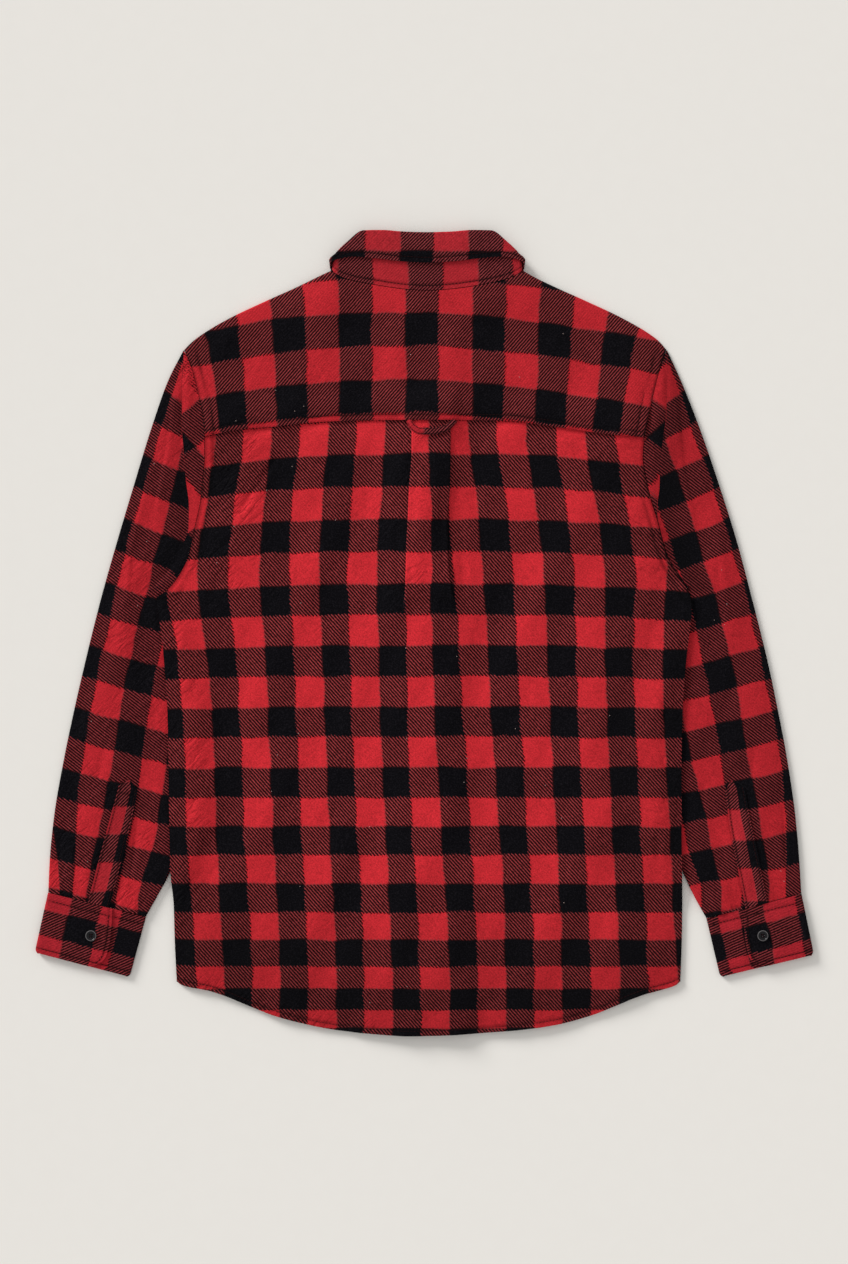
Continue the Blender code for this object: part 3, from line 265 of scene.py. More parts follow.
CUFF_CHECK = {
    "left": ((-0.08, 0.24, 0.56, 0.755, 1.03), (0, 1, 2, 3, 4),
             (-0.1, 0.27, 0.69, 1.1), (0, 1, 2, 3), 0.72),
    "right": ((-0.2, 0.078, 0.407, 0.645, 0.85, 1.1), (1, 2, 3, 4, 5, 6),
              (-0.15, 0.29, 0.75, 1.15), (0, 1, 2, 3), 0)}


def smooth(at, stations, values):
    """A smooth curve through the stations: cubic pieces that never pass their neighbours."""
    at = np.clip(np.asarray(at, float), stations[0], stations[-1])
    chord = np.diff(values) / np.diff(stations)
    before, after = chord[:-1], chord[1:]
    total = before + after
    mean = np.where(before * after > 0, 2 * before * after / np.where(total == 0, 1, total), 0)
    slope = np.concatenate((chord[:1], mean, chord[-1:]))
    place = np.clip(np.searchsorted(stations, at, side="right") - 1, 0, len(stations) - 2)
    span = stations[place + 1] - stations[place]
    run = (at - stations[place]) / span
    return ((2 * run ** 3 - 3 * run ** 2 + 1) * values[place]
            + (run ** 3 - 2 * run ** 2 + run) * span * slope[place]
            + (3 * run ** 2 - 2 * run ** 3) * values[place + 1]
            + (run ** 3 - run ** 2) * span * slope[place + 1])


def look_up(rows, key, wanted, at):
    """Read one column of a table along another one, as a smooth curve."""
    return smooth(at, rows[key], rows[wanted])


def ease(run):
    """0 below 0, 1 above 1, and an S-curve between."""
    run = np.clip(run, 0.0, 1.0)
    return run * run * (3 - 2 * run)


def blend(first, last, run):
    """A point of the way from first to last."""
    return first + (last - first) * run


def bump(distance, width):
    """A soft ridge of height 1 and that half width."""
    return np.exp(-(distance / width) ** 2)


def window(at, low, rise, high, fall):
    """0 below low, 1 from low + rise to high - fall, 0 above high, and S-curves between."""
    return ease((at - low) / rise) * ease((high - at) / fall)


def steps(place, *stations):
    """A count that grows straight from one (place, count) to the next, and on past both ends."""
    count = None
    for (first, low), (last, high) in zip(stations, stations[1:]):
        straight = blend(low, high, (place - first) / (last - first))
        count = straight if count is None else np.where(place < first, count, straight)
    return count


def slope_of(line, at, reach):
    """Slope of a line at a place, taken over that reach to both sides."""
    return (line(at + reach) - line(at - reach)) / (2 * reach)


def hem_line(across):
    """Down place of the hem."""
    return look_up(HEM, "across", "down", across)


def yoke_line(across):
    """Down place of the seam between the yoke and the back."""
    return look_up(YOKE_SEAM, "across", "down", across)


def side_line(side, down):
    """Across place of the armhole seam and the side seam, as a smooth curve."""
    return look_up(SIDE, "down", side, down)


def side_inset(side, across, down):
    """How far inside the armhole and side seam a place is, square to the seam."""
    slope = slope_of(partial(side_line, side), down, 3)
    return INWARD[side] * (across - side_line(side, down)) / np.hypot(1, slope)


def inside_seam(side, down, inset):
    """Across place of a line at an inset from the armhole and side seam, square to the seam."""
    slope = slope_of(partial(side_line, side), down, 3)
    return side_line(side, down) + INWARD[side] * inset * np.hypot(1, slope)


def nearest_seam(across, down):
    """How far inside the nearer side seam a place is, square to the seam."""
    return np.minimum(side_inset("left", across, down), side_inset("right", across, down))


def clear_of_sides(across, down):
    """0 on both side seams, and 1 from 26 mm inside them."""
    inset = np.minimum(across - side_line("left", down), side_line("right", down) - across)
    return ease(inset / 26)


def pleat_cover(across, down):
    """1 over the box pleat, and 0 from 14 mm beside it."""
    left, right, turn = (look_up(PLEAT, "down", name, down) for name in ("left", "right", "turn"))
    return window(across, left - 14, 12, right + 14, 12) * turn / 180


def pleat_rise(across, down):
    """How high the box pleat's folded layers lift what lies over them."""
    return 4 * PLEAT_RADIUS * pleat_cover(across, down)


def over_sleeve(across, down):
    """Lift of the body where it lies on the inner edge of a sleeve."""
    flat, ramp_width = 6.0, 34.0
    lift = 0.0
    for side, rows in SLEEVE.items():
        inner = look_up(rows, "inner_down", "inner_across", down)
        lift = lift + ease(1 - (INWARD[side] * (across - inner) - flat) / ramp_width)
    return SLEEVE_UNDER_BODY * lift * window(down, 578, 14, 918, 46)


def centre_rise(across):
    """1 over the two front bands, and 0 from 62 mm beside their middle."""
    return ease((62 - np.abs(across - BAND_CENTRE)) / 42)


def neck_rise(across, down):
    """1 over the back of the neck ring, where the collar's layers lie under the yoke."""
    return ease((COLLAR_HALF + 62 - np.abs(across - COLLAR_CENTRE)) / 62) * ease((352 - down) / 58)


def fall_rise(across, down):
    """Lift of everything that lies on the front half of the collar fall."""
    beside = ease((COLLAR_HALF + 22 - np.abs(across - COLLAR_CENTRE)) / 20)
    return (STEP + 0.15) * beside * ease((398 - down) / 22)


def folds(across, down, rows=BODY_FOLDS):
    """Soft folds: each a ridge or trough of its own length, width, height and lean."""
    height = 0.0
    for middle, level, length, width, depth, lean in zip(*rows.values()):
        along = (down - level) / (length / 2)
        aside = (across - middle - lean * (down - level)) / width
        height = height + depth * bump(aside, 1) * ease(1 - np.abs(along))
    return height


def swell(across, down):
    """The slack of cloth that was smoothed by hand: slow waves that cross each other."""
    return (0.75 * np.sin(across / 13 + down / 61 + np.sin(down / 47))
            + 0.60 * np.sin(down / 21 - across / 51)
            + 0.45 * np.sin(across / 7.9 + down / 19 + 1.7 + np.sin(across / 61))
            + 0.12 * np.sin(across / 4.1 + down / 7.7))


def front_level(across, down, rise):
    """Height of a front panel's middle surface; rise is how high its band lies."""
    lift = np.maximum(over_sleeve(across, down), rise * centre_rise(across))
    return FLOOR_LAYER + np.maximum(lift, fall_rise(across, down))


def back_base(across, down):
    """Height of the layer above the fronts, without creases."""
    lift = np.maximum(over_sleeve(across, down), CENTRE_RISE * centre_rise(across))
    lift = np.maximum(lift, CENTRE_RISE * neck_rise(across, down))
    lift = np.maximum(lift, fall_rise(across, down))
    return FLOOR_LAYER + STEP + 0.3 + lift + (0.8 + folds(across, down)) * clear_of_sides(across, down)


def stitched(distance, lines, welt=0.3):
    """Relief of a sewn edge at some distance from it: a raised welt, with a groove at each stitch line."""
    groove = sum(bump(distance - line, 1.0) for line in lines)
    raised = welt * ease((max(lines) + 0.6 - distance) / 1.6)
    return raised - 0.4 * groove, groove


def seam_dip(across, down):
    """The yoke seam pulls the cloth down along it, on both of its sides."""
    return 0.8 * bump(down - yoke_line(across), 9.0) * clear_of_sides(across, down)


def yoke_swell(across, down):
    """The slack of the yoke and of the back's edge under it."""
    return 0.7 * swell(across + 40, down) + 0.6


def add_armhole_welts(height, across, down, share=1.0):
    """Add the welts beside both armholes to a height; their stitch grooves come back with it."""
    groove = 0.0
    for side in SIDES:
        raised, line = stitched(side_inset(side, across, down), ARMHOLE_LINES, 0.55)
        height, groove = height + raised * share, groove + line * share
    return height, groove


def back_relief(across, down):
    """Height and groove of the back's own creases, armhole welts and hem."""
    below_seam = ease((down - yoke_line(across) - 1) / 14)
    height = 3.4 * folds(across, down, CREASES) + swell(across, down) + 0.8
    height = 0.25 * np.logaddexp(height * 4, -3.6)
    height = blend(yoke_swell(across, down), height, below_seam) - seam_dip(across, down)
    height = height * ease(nearest_seam(across, down) / 18)
    height, groove = add_armhole_welts(height, across, down, ease((606 - down) / 10))
    to_hem = hem_line(across) - down
    raised, line = stitched(to_hem, (HEM_STITCHES,))
    pucker = 0.16 * np.sin(across / 2.9 + 2 * np.sin(across / 31)) * ease(1 - np.abs(to_hem - 4) / 9)
    return height + raised + pucker, np.minimum(groove + line, 1)


def back_level(across, down):
    """Height of the back's middle surface, with its creases."""
    return back_base(across, down) + back_relief(across, down)[0]


def yoke_level(across, down):
    """Height of the yoke's middle surface: over the fronts, then over the back's top edge."""
    lap = ease((down - yoke_line(across) + 40) / 28)
    return back_base(across, down) + lap * (STEP + 0.2 + pleat_rise(across, down))


def yoke_relief(across, down):
    """Height and groove of the yoke's own swells, lower seam and armhole welts."""
    height = yoke_swell(across, down) * ease(nearest_seam(across, down) / 18) - seam_dip(across, down)
    height, groove = add_armhole_welts(height, across, down)
    raised, line = stitched(yoke_line(across) - down, YOKE_STITCHES)
    return height + raised, np.minimum(groove + line, 1)


def body_wrinkles(across, down):
    """How finely crumpled the back is: most beside the side seams, at the armholes and along the hem."""
    inset = nearest_seam(across, down)
    beside = 0.85 * ease(1 - (inset - 12) / 34) * ease((down - 600) / 40)
    armhole = 0.9 * bump(inset - 26, 40) * ease((640 - down) / 60)
    hem = 0.6 * ease(1 - (hem_line(across) - down) / 22)
    pleat = 0.6 * bump(across - PLEAT_MIDDLE, 46) * ease((640 - down) / 90)
    return 0.14 + np.maximum(np.maximum(beside, armhole), np.maximum(hem, pleat)) * ease(inset / 6)


def painted_edge_shade(across, down):
    """Painted shade: how much deeper the back's tone is made at its sides, by its left armhole and along its
    hem.
    """
    right = (0.2 + 0.15 * ease((down - 650) / 120)) * ease((across - 555) / 90)
    left = 0.10 * ease((250 - across) / 70)
    armhole = 0.3 * bump(np.hypot(across - 222, down - 455), 48)
    hem = 0.5 * ease(1 - (hem_line(across) - down) / 190)
    return np.minimum(np.maximum(right + left + armhole, hem), 0.5)


def thicken(middle, thickness, use, ring):
    """Carry a middle surface half a wall out along its normals on both sides."""
    rows = np.concatenate((middle, middle[:, :1]), axis=1) if ring else middle
    face = np.cross(rows[1:, 1:] - rows[:-1, :-1], rows[1:, :-1] - rows[:-1, 1:]) * use[..., None]
    normal = np.zeros_like(rows)
    for row, col in ((0, 0), (0, 1), (1, 0), (1, 1)):
        normal[row:row + face.shape[0], col:col + face.shape[1]] += face
    if ring:
        normal[:, 0] += normal[:, -1]
        normal = normal[:, :-1]
    length = np.linalg.norm(normal, axis=2, keepdims=True)
    normal = normal / np.where(length == 0, 1, length)
    return middle + normal * thickness / 2, middle - normal * thickness / 2


def in_metres(points):
    """From the laying table's millimetres to the frame."""
    return (points * (1, -1, 1) + (-MIDDLE_ACROSS, MIDDLE_DOWN, 0)) * MM


def link(name, data):
    """Put an object of that data into the scene."""
    thing = bpy.data.objects.new(name, data)
    bpy.context.scene.collection.objects.link(thing)
    return thing


def build(name, points, faces, material, maps=None, values=None):
    """A shown piece from points in millimetres and faces, turned outwards, with its maps and point values."""
    points = in_metres(points)
    kept, faces_of = np.unique(faces, return_inverse=True)
    points, faces = points[kept], faces_of.reshape(faces.shape)
    first, second, third, fourth = (points[faces[:, place]] for place in range(4))
    volume = (np.einsum("ij,ij->i", first, np.cross(second, third))
              + np.einsum("ij,ij->i", first, np.cross(third, fourth))).sum()
    if volume < 0:
        faces = faces[:, ::-1]
    mesh = bpy.data.meshes.new(name)
    mesh.vertices.add(len(points))
    mesh.vertices.foreach_set("co", points.ravel())
    mesh.loops.add(faces.size)
    mesh.loops.foreach_set("vertex_index", faces.ravel())
    mesh.polygons.add(len(faces))
    mesh.polygons.foreach_set("loop_start", np.arange(0, faces.size, 4))
    mesh.update(calc_edges=True)
    for title, corners in (maps or {}).items():
        corners = corners[:, ::-1] if volume < 0 else corners
        mesh.uv_layers.new(name=title).data.foreach_set("uv", corners.reshape(-1, 2).ravel())
    for title, numbers in (values or {}).items():
        mesh.attributes.new(title, "FLOAT", "POINT").data.foreach_set("value", numbers[kept])
    mesh.shade_smooth()
    mesh.set_sharp_from_angle(angle=math.radians(40))
    mesh.materials.append(material)
    mesh.validate()
    return link(name, mesh)


LAID = {}


def wall(name, middle, check, material, thickness=CLOTH, use=None, ring=False, groove=0.0, wrinkles=0.2,
         turned=None):
    """A cloth wall: the middle surface carried out both ways, and closed along its open edges.

    check has one place for each point, and one column more than the points on a ring. turned, where
    given, is a second such check and how far inside its part each point lies.
    """
    LAID[name] = middle
    rows, cols = middle.shape[:2]
    spans = cols if ring else cols - 1
    used = np.ones((rows - 1, spans), bool) if use is None else use
    outer, inner = thicken(middle, thickness, used, ring)
    index = np.arange(rows * cols).reshape(rows, cols)
    if ring:
        index = np.concatenate((index, index[:, :1]), axis=1)
    chart = np.arange(rows * (spans + 1)).reshape(rows, spans + 1)

    def corners(places):
        return np.stack((places[:-1, :-1][used], places[:-1, 1:][used],
                         places[1:, 1:][used], places[1:, :-1][used]), axis=1)

    top, top_chart = corners(index), corners(chart)
    count = rows * cols
    edges = np.concatenate([top[:, [place, (place + 1) % 4]] for place in range(4)])
    edge_chart = np.concatenate([top_chart[:, [place, (place + 1) % 4]] for place in range(4)])
    key = edges.min(axis=1) * count + edges.max(axis=1)
    _, place, times = np.unique(key, return_index=True, return_counts=True)
    alone = place[times == 1]
    edges, edge_chart = edges[alone], edge_chart[alone]
    rim = np.stack((edges[:, 1], edges[:, 0], edges[:, 0] + count, edges[:, 1] + count), axis=1)
    rim_chart = edge_chart[:, [1, 0, 0, 1]]
    faces = np.concatenate((top, top[:, ::-1] + count, rim))
    charts = np.concatenate((top_chart, top_chart[:, ::-1], rim_chart))
    points = np.concatenate((outer.reshape(-1, 3), inner.reshape(-1, 3)))
    maps = {"check": check.reshape(-1, 2)[charts]}
    # The groove value is painted shade: it darkens the cloth's colour along stitch lines, seams and edges
    # where shade falls.
    values = {title: np.tile(np.broadcast_to(numbers, (rows, cols)).ravel(), 2)
              for title, numbers in (("groove", groove), ("wrinkles", wrinkles))}
    if turned is not None:
        maps["turned_check"] = turned[0].reshape(-1, 2)[charts]
        values["turned"] = np.tile(turned[1].ravel(), 2)
    return build(name, points, faces, material, maps, values)


def grid(across, down, height):
    """Put three arrays of rows and columns together as points."""
    return np.stack(np.broadcast_arrays(across, down, height), axis=-1).astype(float)


def pair(first, second):
    """Two counts of the check as the last axis of one array."""
    return np.stack(np.broadcast_arrays(first, second), axis=-1).astype(float)


def body_check(across, down):
    """Counts of the body's check at a place of the laying table: stripes across, rows down."""
    line = {name: np.interp(down, BODY_CHECK["down"], BODY_CHECK[name]) for name in BODY_CHECK}
    face_left, face_right = (look_up(PLEAT, "down", side, down) for side in SIDES)
    left = steps(across, *((line[f"line{count}"], count) for count in (1, 4, 8)))
    face = steps(across, (face_left, line["left_u"]), (line["line9"], 9), (face_right, line["face_u"]))
    right = steps(across, (face_right, line["right_u"]),
                  *((line[f"line{count}"], count) for count in (11, 13, 16)))
    away = np.abs(across - PLEAT_MIDDLE) / 195
    fade = np.interp(down, (455, 535, 650, 800), (1, 0.5, 0.2, 0))
    row = np.interp(down - 10 * away ** 3 * fade, BODY_ROWS["down"], BODY_ROWS["row"])
    return left, face, right, row


def panel_rows(top, count):
    """Down places of a panel's rows at its side seam, and the same as parts of the way to the hem."""
    down = np.linspace(top, SIDE_END_DOWN, count)[:, None]
    return down, (down - down[0]) / (down[-1] - down[0])


def make_back(material):
    """The back: rows of the panel from under the yoke to the hem, with the box pleat in each section."""
    beside = 84
    side_down, part = panel_rows(BACK_TOP_DOWN, 213)
    left, right = (side_line(side, side_down) for side in SIDES)

    def level(across):
        """Down place of each row where it crosses an across place."""
        share = (across - left) / (right - left)
        bottom = hem_line(blend(HEM["across"][0], HEM["across"][-1], share))
        return blend(yoke_line(across) - YOKE_TUCK, bottom, part)

    middle_down = level(np.full(side_down.shape, PLEAT_MIDDLE))
    face_left, face_right, tuck, turn = (
        look_up(PLEAT, "down", name, middle_down) for name in ("left", "right", "tuck", "turn"))
    angles = np.radians(turn * np.linspace(0, 1, 7))
    opened = np.linspace(0, 1.4, 7) * (1 - turn / 180)
    first = np.stack((PLEAT_RADIUS * np.sin(angles) + opened, PLEAT_RADIUS * (1 - np.cos(angles))), axis=-1)
    back_run = tuck[..., None] * np.stack((np.cos(angles[:, -1:]), np.sin(angles[:, -1:])), axis=-1)
    second = first[:, -1:] + back_run + (first[:, -1:] - first)[:, ::-1]
    path = np.concatenate((first, second), axis=1)
    path[..., 0] -= path[:, -1:, 0]
    spread = np.linspace(0, 1, beside)[:-1] ** 0.9
    fold_left = face_left + path[..., 0]
    fold_right = (face_right - path[..., 0])[:, ::-1]
    body_left = blend(left, fold_left[:, :1], spread)
    body_right = blend(right, fold_right[:, -1:], spread)[:, ::-1]
    face = blend(face_left, face_right, np.linspace(0, 1, 22)[1:-1])
    across = np.concatenate((body_left, fold_left, face, fold_right, body_right), axis=1)
    crown = 2.4 * window(face, face_left, 13, face_right, 16)
    crown = crown * np.maximum(turn / 180, 0.35 * ease((690 - middle_down) / 60))
    crown = crown * ease((middle_down - 438) / 26)
    raised = np.concatenate((0 * body_left, path[..., 1], path[:, -1:, 1] + crown,
                             path[:, ::-1, 1], 0 * body_right), axis=1)
    down = level(across)
    relief, groove = back_relief(across, down)
    height = back_base(across, down) + raised + relief
    left_u, face_u, right_u, row = body_check(across, down)
    body, fold = body_left.shape[1], path.shape[1]
    start = body + fold
    stop = start + face.shape[1]
    run = np.linspace(0, 1, fold)
    stripe = np.concatenate((
        left_u[:, :body],
        blend(left_u[:, body:body + 1], face_u[:, start - 1:start], run),
        face_u[:, start:stop],
        blend(face_u[:, stop:stop + 1], right_u[:, stop + fold - 1:stop + fold], run),
        right_u[:, stop + fold:]), axis=1)
    # The groove value darkens the cloth: painted shade along the stitch grooves, and more painted shade at the
    # back's sides, left armhole and hem.
    return wall("back", grid(across, down, height), pair(stripe, row), material,
                groove=np.minimum(groove + painted_edge_shade(across, down), 1), wrinkles=body_wrinkles(across, down))


def shoulder_top(columns):
    """Down place of the yoke's upper edge: shoulder, neck, shoulder."""
    left, neck, right = (look_up(rows, "across", "down", columns)
                         for rows in (SHOULDER["left"], NECK_BACK, SHOULDER["right"]))
    return np.where(columns <= NECK_BACK["across"][0], left,
                    np.where(columns < NECK_BACK["across"][-1], neck, right))


def yoke_check(across, down):
    """Counts of the yoke's check: its columns lean inward near the shoulders and its rows drop there."""
    away = np.abs(across - 422)
    on_left = across < 422
    lean = np.where(on_left, 12, -16) * (away / 216) ** 3 * (down - 330) / 68
    drop = np.where(on_left, 15 * (away / 197) ** 2.5, 16 * (away / 163) ** 1.5)
    return 1 + (across - lean - 206) / 33.23, (down - drop - 279) / YOKE_ROW


def make_yoke(material):
    """The yoke: up the back, round the shoulder folds, and down onto the fronts beside the neck."""
    tip_left, tip_right = SHOULDER["left"]["across"][0], SHOULDER["right"]["across"][-1]
    neck_left, neck_right = NECK_BACK["across"][0], NECK_BACK["across"][-1]
    top = np.concatenate((np.linspace(tip_left, neck_left, 62)[:-1], np.linspace(neck_left, neck_right, 82),
                          np.linspace(neck_right, tip_right, 62)[1:]))
    top_down = shoulder_top(top)
    share = (top - tip_left) / (tip_right - tip_left)
    run = np.linspace(1, 0.09, 48)[:, None]
    end_down = blend(SHOULDER_DOWN, YOKE_END_DOWN, run)
    across = blend(side_line("left", end_down), side_line("right", end_down), share)
    down = blend(top_down, yoke_line(across), run)
    relief, groove = yoke_relief(across, down)
    away_from_fold = ease((down - top_down - 4) / 14)
    back = grid(across, down, yoke_level(across, down) + relief * away_from_fold)
    back_check = pair(*yoke_check(across, down))
    upper, lower = yoke_level(top, top_down), front_level(top, top_down, 0.0)
    radius = (upper - lower) / 2
    along_left = (top - tip_left) / (neck_left - tip_left)
    along_right = (tip_right - top) / (tip_right - neck_right)
    angle = np.radians(np.linspace(90, -90, 11))[:, None]
    fold_down = top_down + CLOTH / 2 + radius * (1 - np.cos(angle))
    follow_left = (side_line("left", fold_down) - tip_left) * np.clip(1 - along_left * 5, 0, 1)
    follow_right = (side_line("right", fold_down) - tip_right) * np.clip(1 - along_right * 5, 0, 1)
    fold = grid(top + follow_left + follow_right, fold_down, (upper + lower) / 2 + radius * np.sin(angle))
    neck_edge = (top > neck_left) & (top < neck_right)
    fold[0, :, 1] = np.where(neck_edge, top_down + SEAM / 2, fold[0, :, 1])
    reach = np.linspace(0.2, 1, 13)[:, None]
    end_down = blend(SHOULDER_DOWN, YOKE_FRONT_DOWN, reach)
    left_neck, right_neck = front_neck_edge(blend(274.5, NECK_POINT_DOWN, reach))
    on_left = blend(side_line("left", end_down), left_neck, along_left)
    on_right = blend(side_line("right", end_down), right_neck, along_right)
    across = np.where(top <= neck_left, on_left, np.where(top >= neck_right, on_right, top))
    seam = blend(YOKE_FRONT_DOWN, NECK_POINT_DOWN, np.where(top <= neck_left, along_left, along_right))
    down = blend(top_down, seam, reach)
    front = grid(across, down, front_level(across, down, 0.0))
    middle = np.concatenate((back, fold, front))
    runs = np.linalg.norm(np.diff(middle[len(back) - 1:], axis=0), axis=2).cumsum(axis=0)
    stripe = np.concatenate((back_check[..., 0], np.repeat(back_check[-1:, :, 0], len(runs), axis=0)))
    row = np.concatenate((back_check[..., 1], back_check[-1:, :, 1] - runs / YOKE_ROW))
    use = np.ones((middle.shape[0] - 1, middle.shape[1] - 1), bool)
    use[len(back):, (top[:-1] >= neck_left) & (top[1:] <= neck_right)] = False
    lines = np.zeros(middle.shape[:2])
    lines[:len(back)] = groove * away_from_fold
    # Painted shade: the yoke's two ends, beside the shoulders, are made darker through the groove value.
    lines = lines + 0.18 * (ease((228 - middle[..., 0]) / 30) + ease((middle[..., 0] - 632) / 30))
    return wall("yoke_cloth", middle, pair(stripe, row), material, use=use, groove=np.minimum(lines, 1))


def front_neck_edge(down):
    """Across places of the yoke's two front edges beside the neck."""
    run = (down - NECK_FRONT["down"][0]) / (NECK_FRONT["down"][1] - NECK_FRONT["down"][0])
    return (blend(NECK_FRONT["across"][0], NECK_FRONT["across"][1], run),
            blend(NECK_FRONT["across"][-1], NECK_FRONT["across"][-2], run))


def front_top(side, across):
    """Down place of a front panel's upper edge: the yoke's front seam, then the front neckline."""
    armhole = side_line(side, YOKE_FRONT_DOWN)
    neck = NECK_FRONT["across"][1 if side == "left" else -2]
    seam = blend(YOKE_FRONT_DOWN, NECK_POINT_DOWN, (across - armhole) / (neck - armhole))
    past_neck = INWARD[side] * (across - neck) > 0
    return np.where(past_neck, look_up(NECK_FRONT, "across", "down", across), seam) + SEAM


def front_bottom(across):
    """Down place of a front panel's hem, just inside the back's."""
    return hem_line(across) - FRONT_HEM_INSET * window(across, 177, 30, 680, 30)


def plain_check(across, down, sign=1):
    """Counts of an even check of 29 by 31 mm, for the pieces that lie underneath."""
    return pair(sign * (across - BAND_CENTRE) / CHECK_COLUMN, (down - 421) / CHECK_ROW)


def make_front(side, material):
    """A front panel: from its side seam to the seam of its band, hollowed softly over what it lies on."""
    band_edge = BAND_CENTRE - INWARD[side] * (BAND_WIDTH / 2 + GAP)
    side_down, part = panel_rows(YOKE_FRONT_DOWN, 130)
    share = np.linspace(0, 1, 74)
    across = blend(side_line(side, side_down), band_edge, share)
    top = front_top(side, blend(side_line(side, YOKE_FRONT_DOWN), band_edge, share))
    bottom = front_bottom(blend(side_line(side, SIDE_END_DOWN), band_edge, share))
    down = blend(top, bottom, part)
    height = front_level(across, down, BAND_RISE[side])
    return wall(f"{side}_front", grid(across, down, height), plain_check(across, down, INWARD[side]), material)


def make_band(name, side, material):
    """A front band: a straight strip from the stand to the hem, with a line of painted shade down each side, 3
    mm inside its edge.
    """
    across = BAND_CENTRE + np.linspace(-1, 1, 15) * BAND_WIDTH / 2
    top = look_up(NECK_FRONT, "across", "down", across) + SEAM
    down = blend(top, front_bottom(across), np.linspace(0, 1, 170)[:, None])
    inset = BAND_WIDTH / 2 - np.abs(across - BAND_CENTRE)
    groove = np.broadcast_to(bump(inset - 3, 1.2), down.shape)
    height = FLOOR_LAYER + BAND_RISE[side] + 0.05 * np.sin(down / 9) * ease(inset / 8)
    return wall(name, grid(across, down, height), plain_check(across, down), material, groove=groove)


def sleeve_place(side, station, share):
    """Across and down place on a sleeve: share 0 on its outer edge, 1 on its inner one."""
    rows, outward = SLEEVE[side], -INWARD[side]
    ends = [look_up(rows, "station", name, station) for name in CORNERS]
    first = [rows[name][0] for name in CORNERS]
    seam_down = blend(SHOULDER_DOWN, UNDERARM_DOWN, share)
    slope = slope_of(partial(side_line, side), seam_down, 4)
    away = SLEEVE_SEAM / np.hypot(1, slope) * outward
    seam_across = side_line(side, seam_down) + away
    bow = np.clip(1 - station / (5 * (1 - share ** 4) * ease((0.985 - share) / 0.03) + 0.2), 0, 1) ** 2
    across = blend(ends[0], ends[2], share) + bow * (seam_across - blend(first[0], first[2], share))
    down = blend(ends[1], ends[3], share) + bow * (seam_down - away * slope - blend(first[1], first[3], share))
    bend = UNDERARM_BEND * (1 - share) * ease(share / 0.95) * window(station, 0, 0.5, 7, 4.5)
    return across + bend * outward, down


HEAD_CREASE = sides(
    "down across",
    ((340, 184.5), (366, 183), (390, 182), (426, 182), (452, 184), (480, 186), (506, 189), (528, 188.5),
     (545, 183), (562, 175), (578, 163), (592, 150), (620, 120)),
    ((340, 665.5), (358, 666.7), (413, 666), (441, 662.5), (463, 659.7), (485, 659.5), (508, 657),
     (521, 657.5), (540, 662), (560, 671), (580, 683), (597, 697), (620, 720)))
HEAD_CHECK = {
    "left": (195, -0.8, 1.15, (345, 402.4, 447, 527, 569, 610), (0, 1, 2, 3, 4, 5),
             (390, 446, 489, 541, 600), (0, 1, 2, 3, 4)),
    "right": (655, -0.98, 0.7, (325, 373, 431, 476, 600), (1, 2, 3, 4, 5),
              (355, 400, 444.7, 493, 600), (2, 3, 4, 5, 6))}


def head_inset(side, across, down):
    """How far a place lies past the sleeve head's crease, towards the armhole seam."""
    crease = partial(look_up, HEAD_CREASE[side], "down", "across")
    return INWARD[side] * (across - crease(down)) / np.hypot(1, slope_of(crease, down, 2))


def head_check(side, across, down):
    centre, rising, falling, places, counts, row_places, row_counts = HEAD_CHECK[side]
    return pair(np.interp(down - rising * (across - centre), places, counts),
                np.interp(down - falling * (across - centre), row_places, row_counts))


SLEEVE_CREASES = sides(
    "across down length width depth lean",
    ((76, 862, 74, 2, -0.6, -0.05), (134, 852, 100, 2.2, -0.7, -0.1), (150, 560, 90, 5, -0.4, -0.3),
     (122, 690, 90, 5, -0.4, -0.25), (160, 700, 70, 4, -0.4, -0.3), (100, 770, 80, 4, -0.4, -0.2),
     (150, 800, 60, 3, -0.4, -0.25), (60, 850, 60, 2.2, -0.4, -0.08), (165, 640, 60, 3.5, -0.4, -0.2),
     (112, 640, 80, 5, -0.3, -0.25)),
    ((785, 842, 84, 2.2, -0.7, 0.05), (736, 850, 110, 2.2, -0.7, 0.18), (700, 560, 90, 5, -0.4, -0.35),
     (730, 690, 90, 5, -0.4, -0.2), (690, 700, 70, 4, -0.4, -0.35), (752, 770, 70, 4, -0.4, -0.1),
     (700, 812, 60, 3, -0.4, -0.2), (716, 880, 50, 2.2, -0.4, 0.05)))


def sleeve_base(side, station, share):
    """Height of the middle of a sleeve's upper layer: a soft swell, the sleeve head and its folds."""
    height = look_up(SLEEVE[side], "station", "height", station) - CLOTH / 2
    swelling = 1.3 * np.sin(np.pi * np.clip(share / 0.66, 0, 1)) ** 2 * window(station, 0, 3, 11.5, 3)
    head = 1.4 * window(station, 0, 0.35, 1.25, 0.35) * window(share, 0.03, 0.08, 0.66, 0.2)
    height = height + swelling + head
    for place, width, depth, first, last in zip(*SLEEVE_FOLDS.values()):
        height = height + depth * window(station, first, 0.9, last + 0.9, 0.9) * bump(share - place, width)
    return height


def sleeve_top(side, station, share):
    """Height of a sleeve's upper layer with its small creases, which stay off the body's edge."""
    across, down = sleeve_place(side, station, share)
    own = window(share, 0.02, 0.1, 0.98, 0.1) * window(station, 0, 0.8, 11.2, 0.5)
    shown = own * ease((0.9 - share) / 0.3 + ease(station - 8.5))
    creases = 2.0 * folds(across, down, SLEEVE_CREASES[side]) + 0.7 * swell(across, down) + 0.3
    inset = head_inset(side, across, down)
    head = window(share, 0.03, 0.05, 0.93, 0.08) * ease(station / 0.12) * ease((594 - down) / 16)
    valley = -1.25 * bump(inset, 3.0) - 0.5 * bump(inset + 5, 5.0) + 0.35 * bump(inset - 7, 5.0)
    return sleeve_base(side, station, share) + creases * shown + valley * head


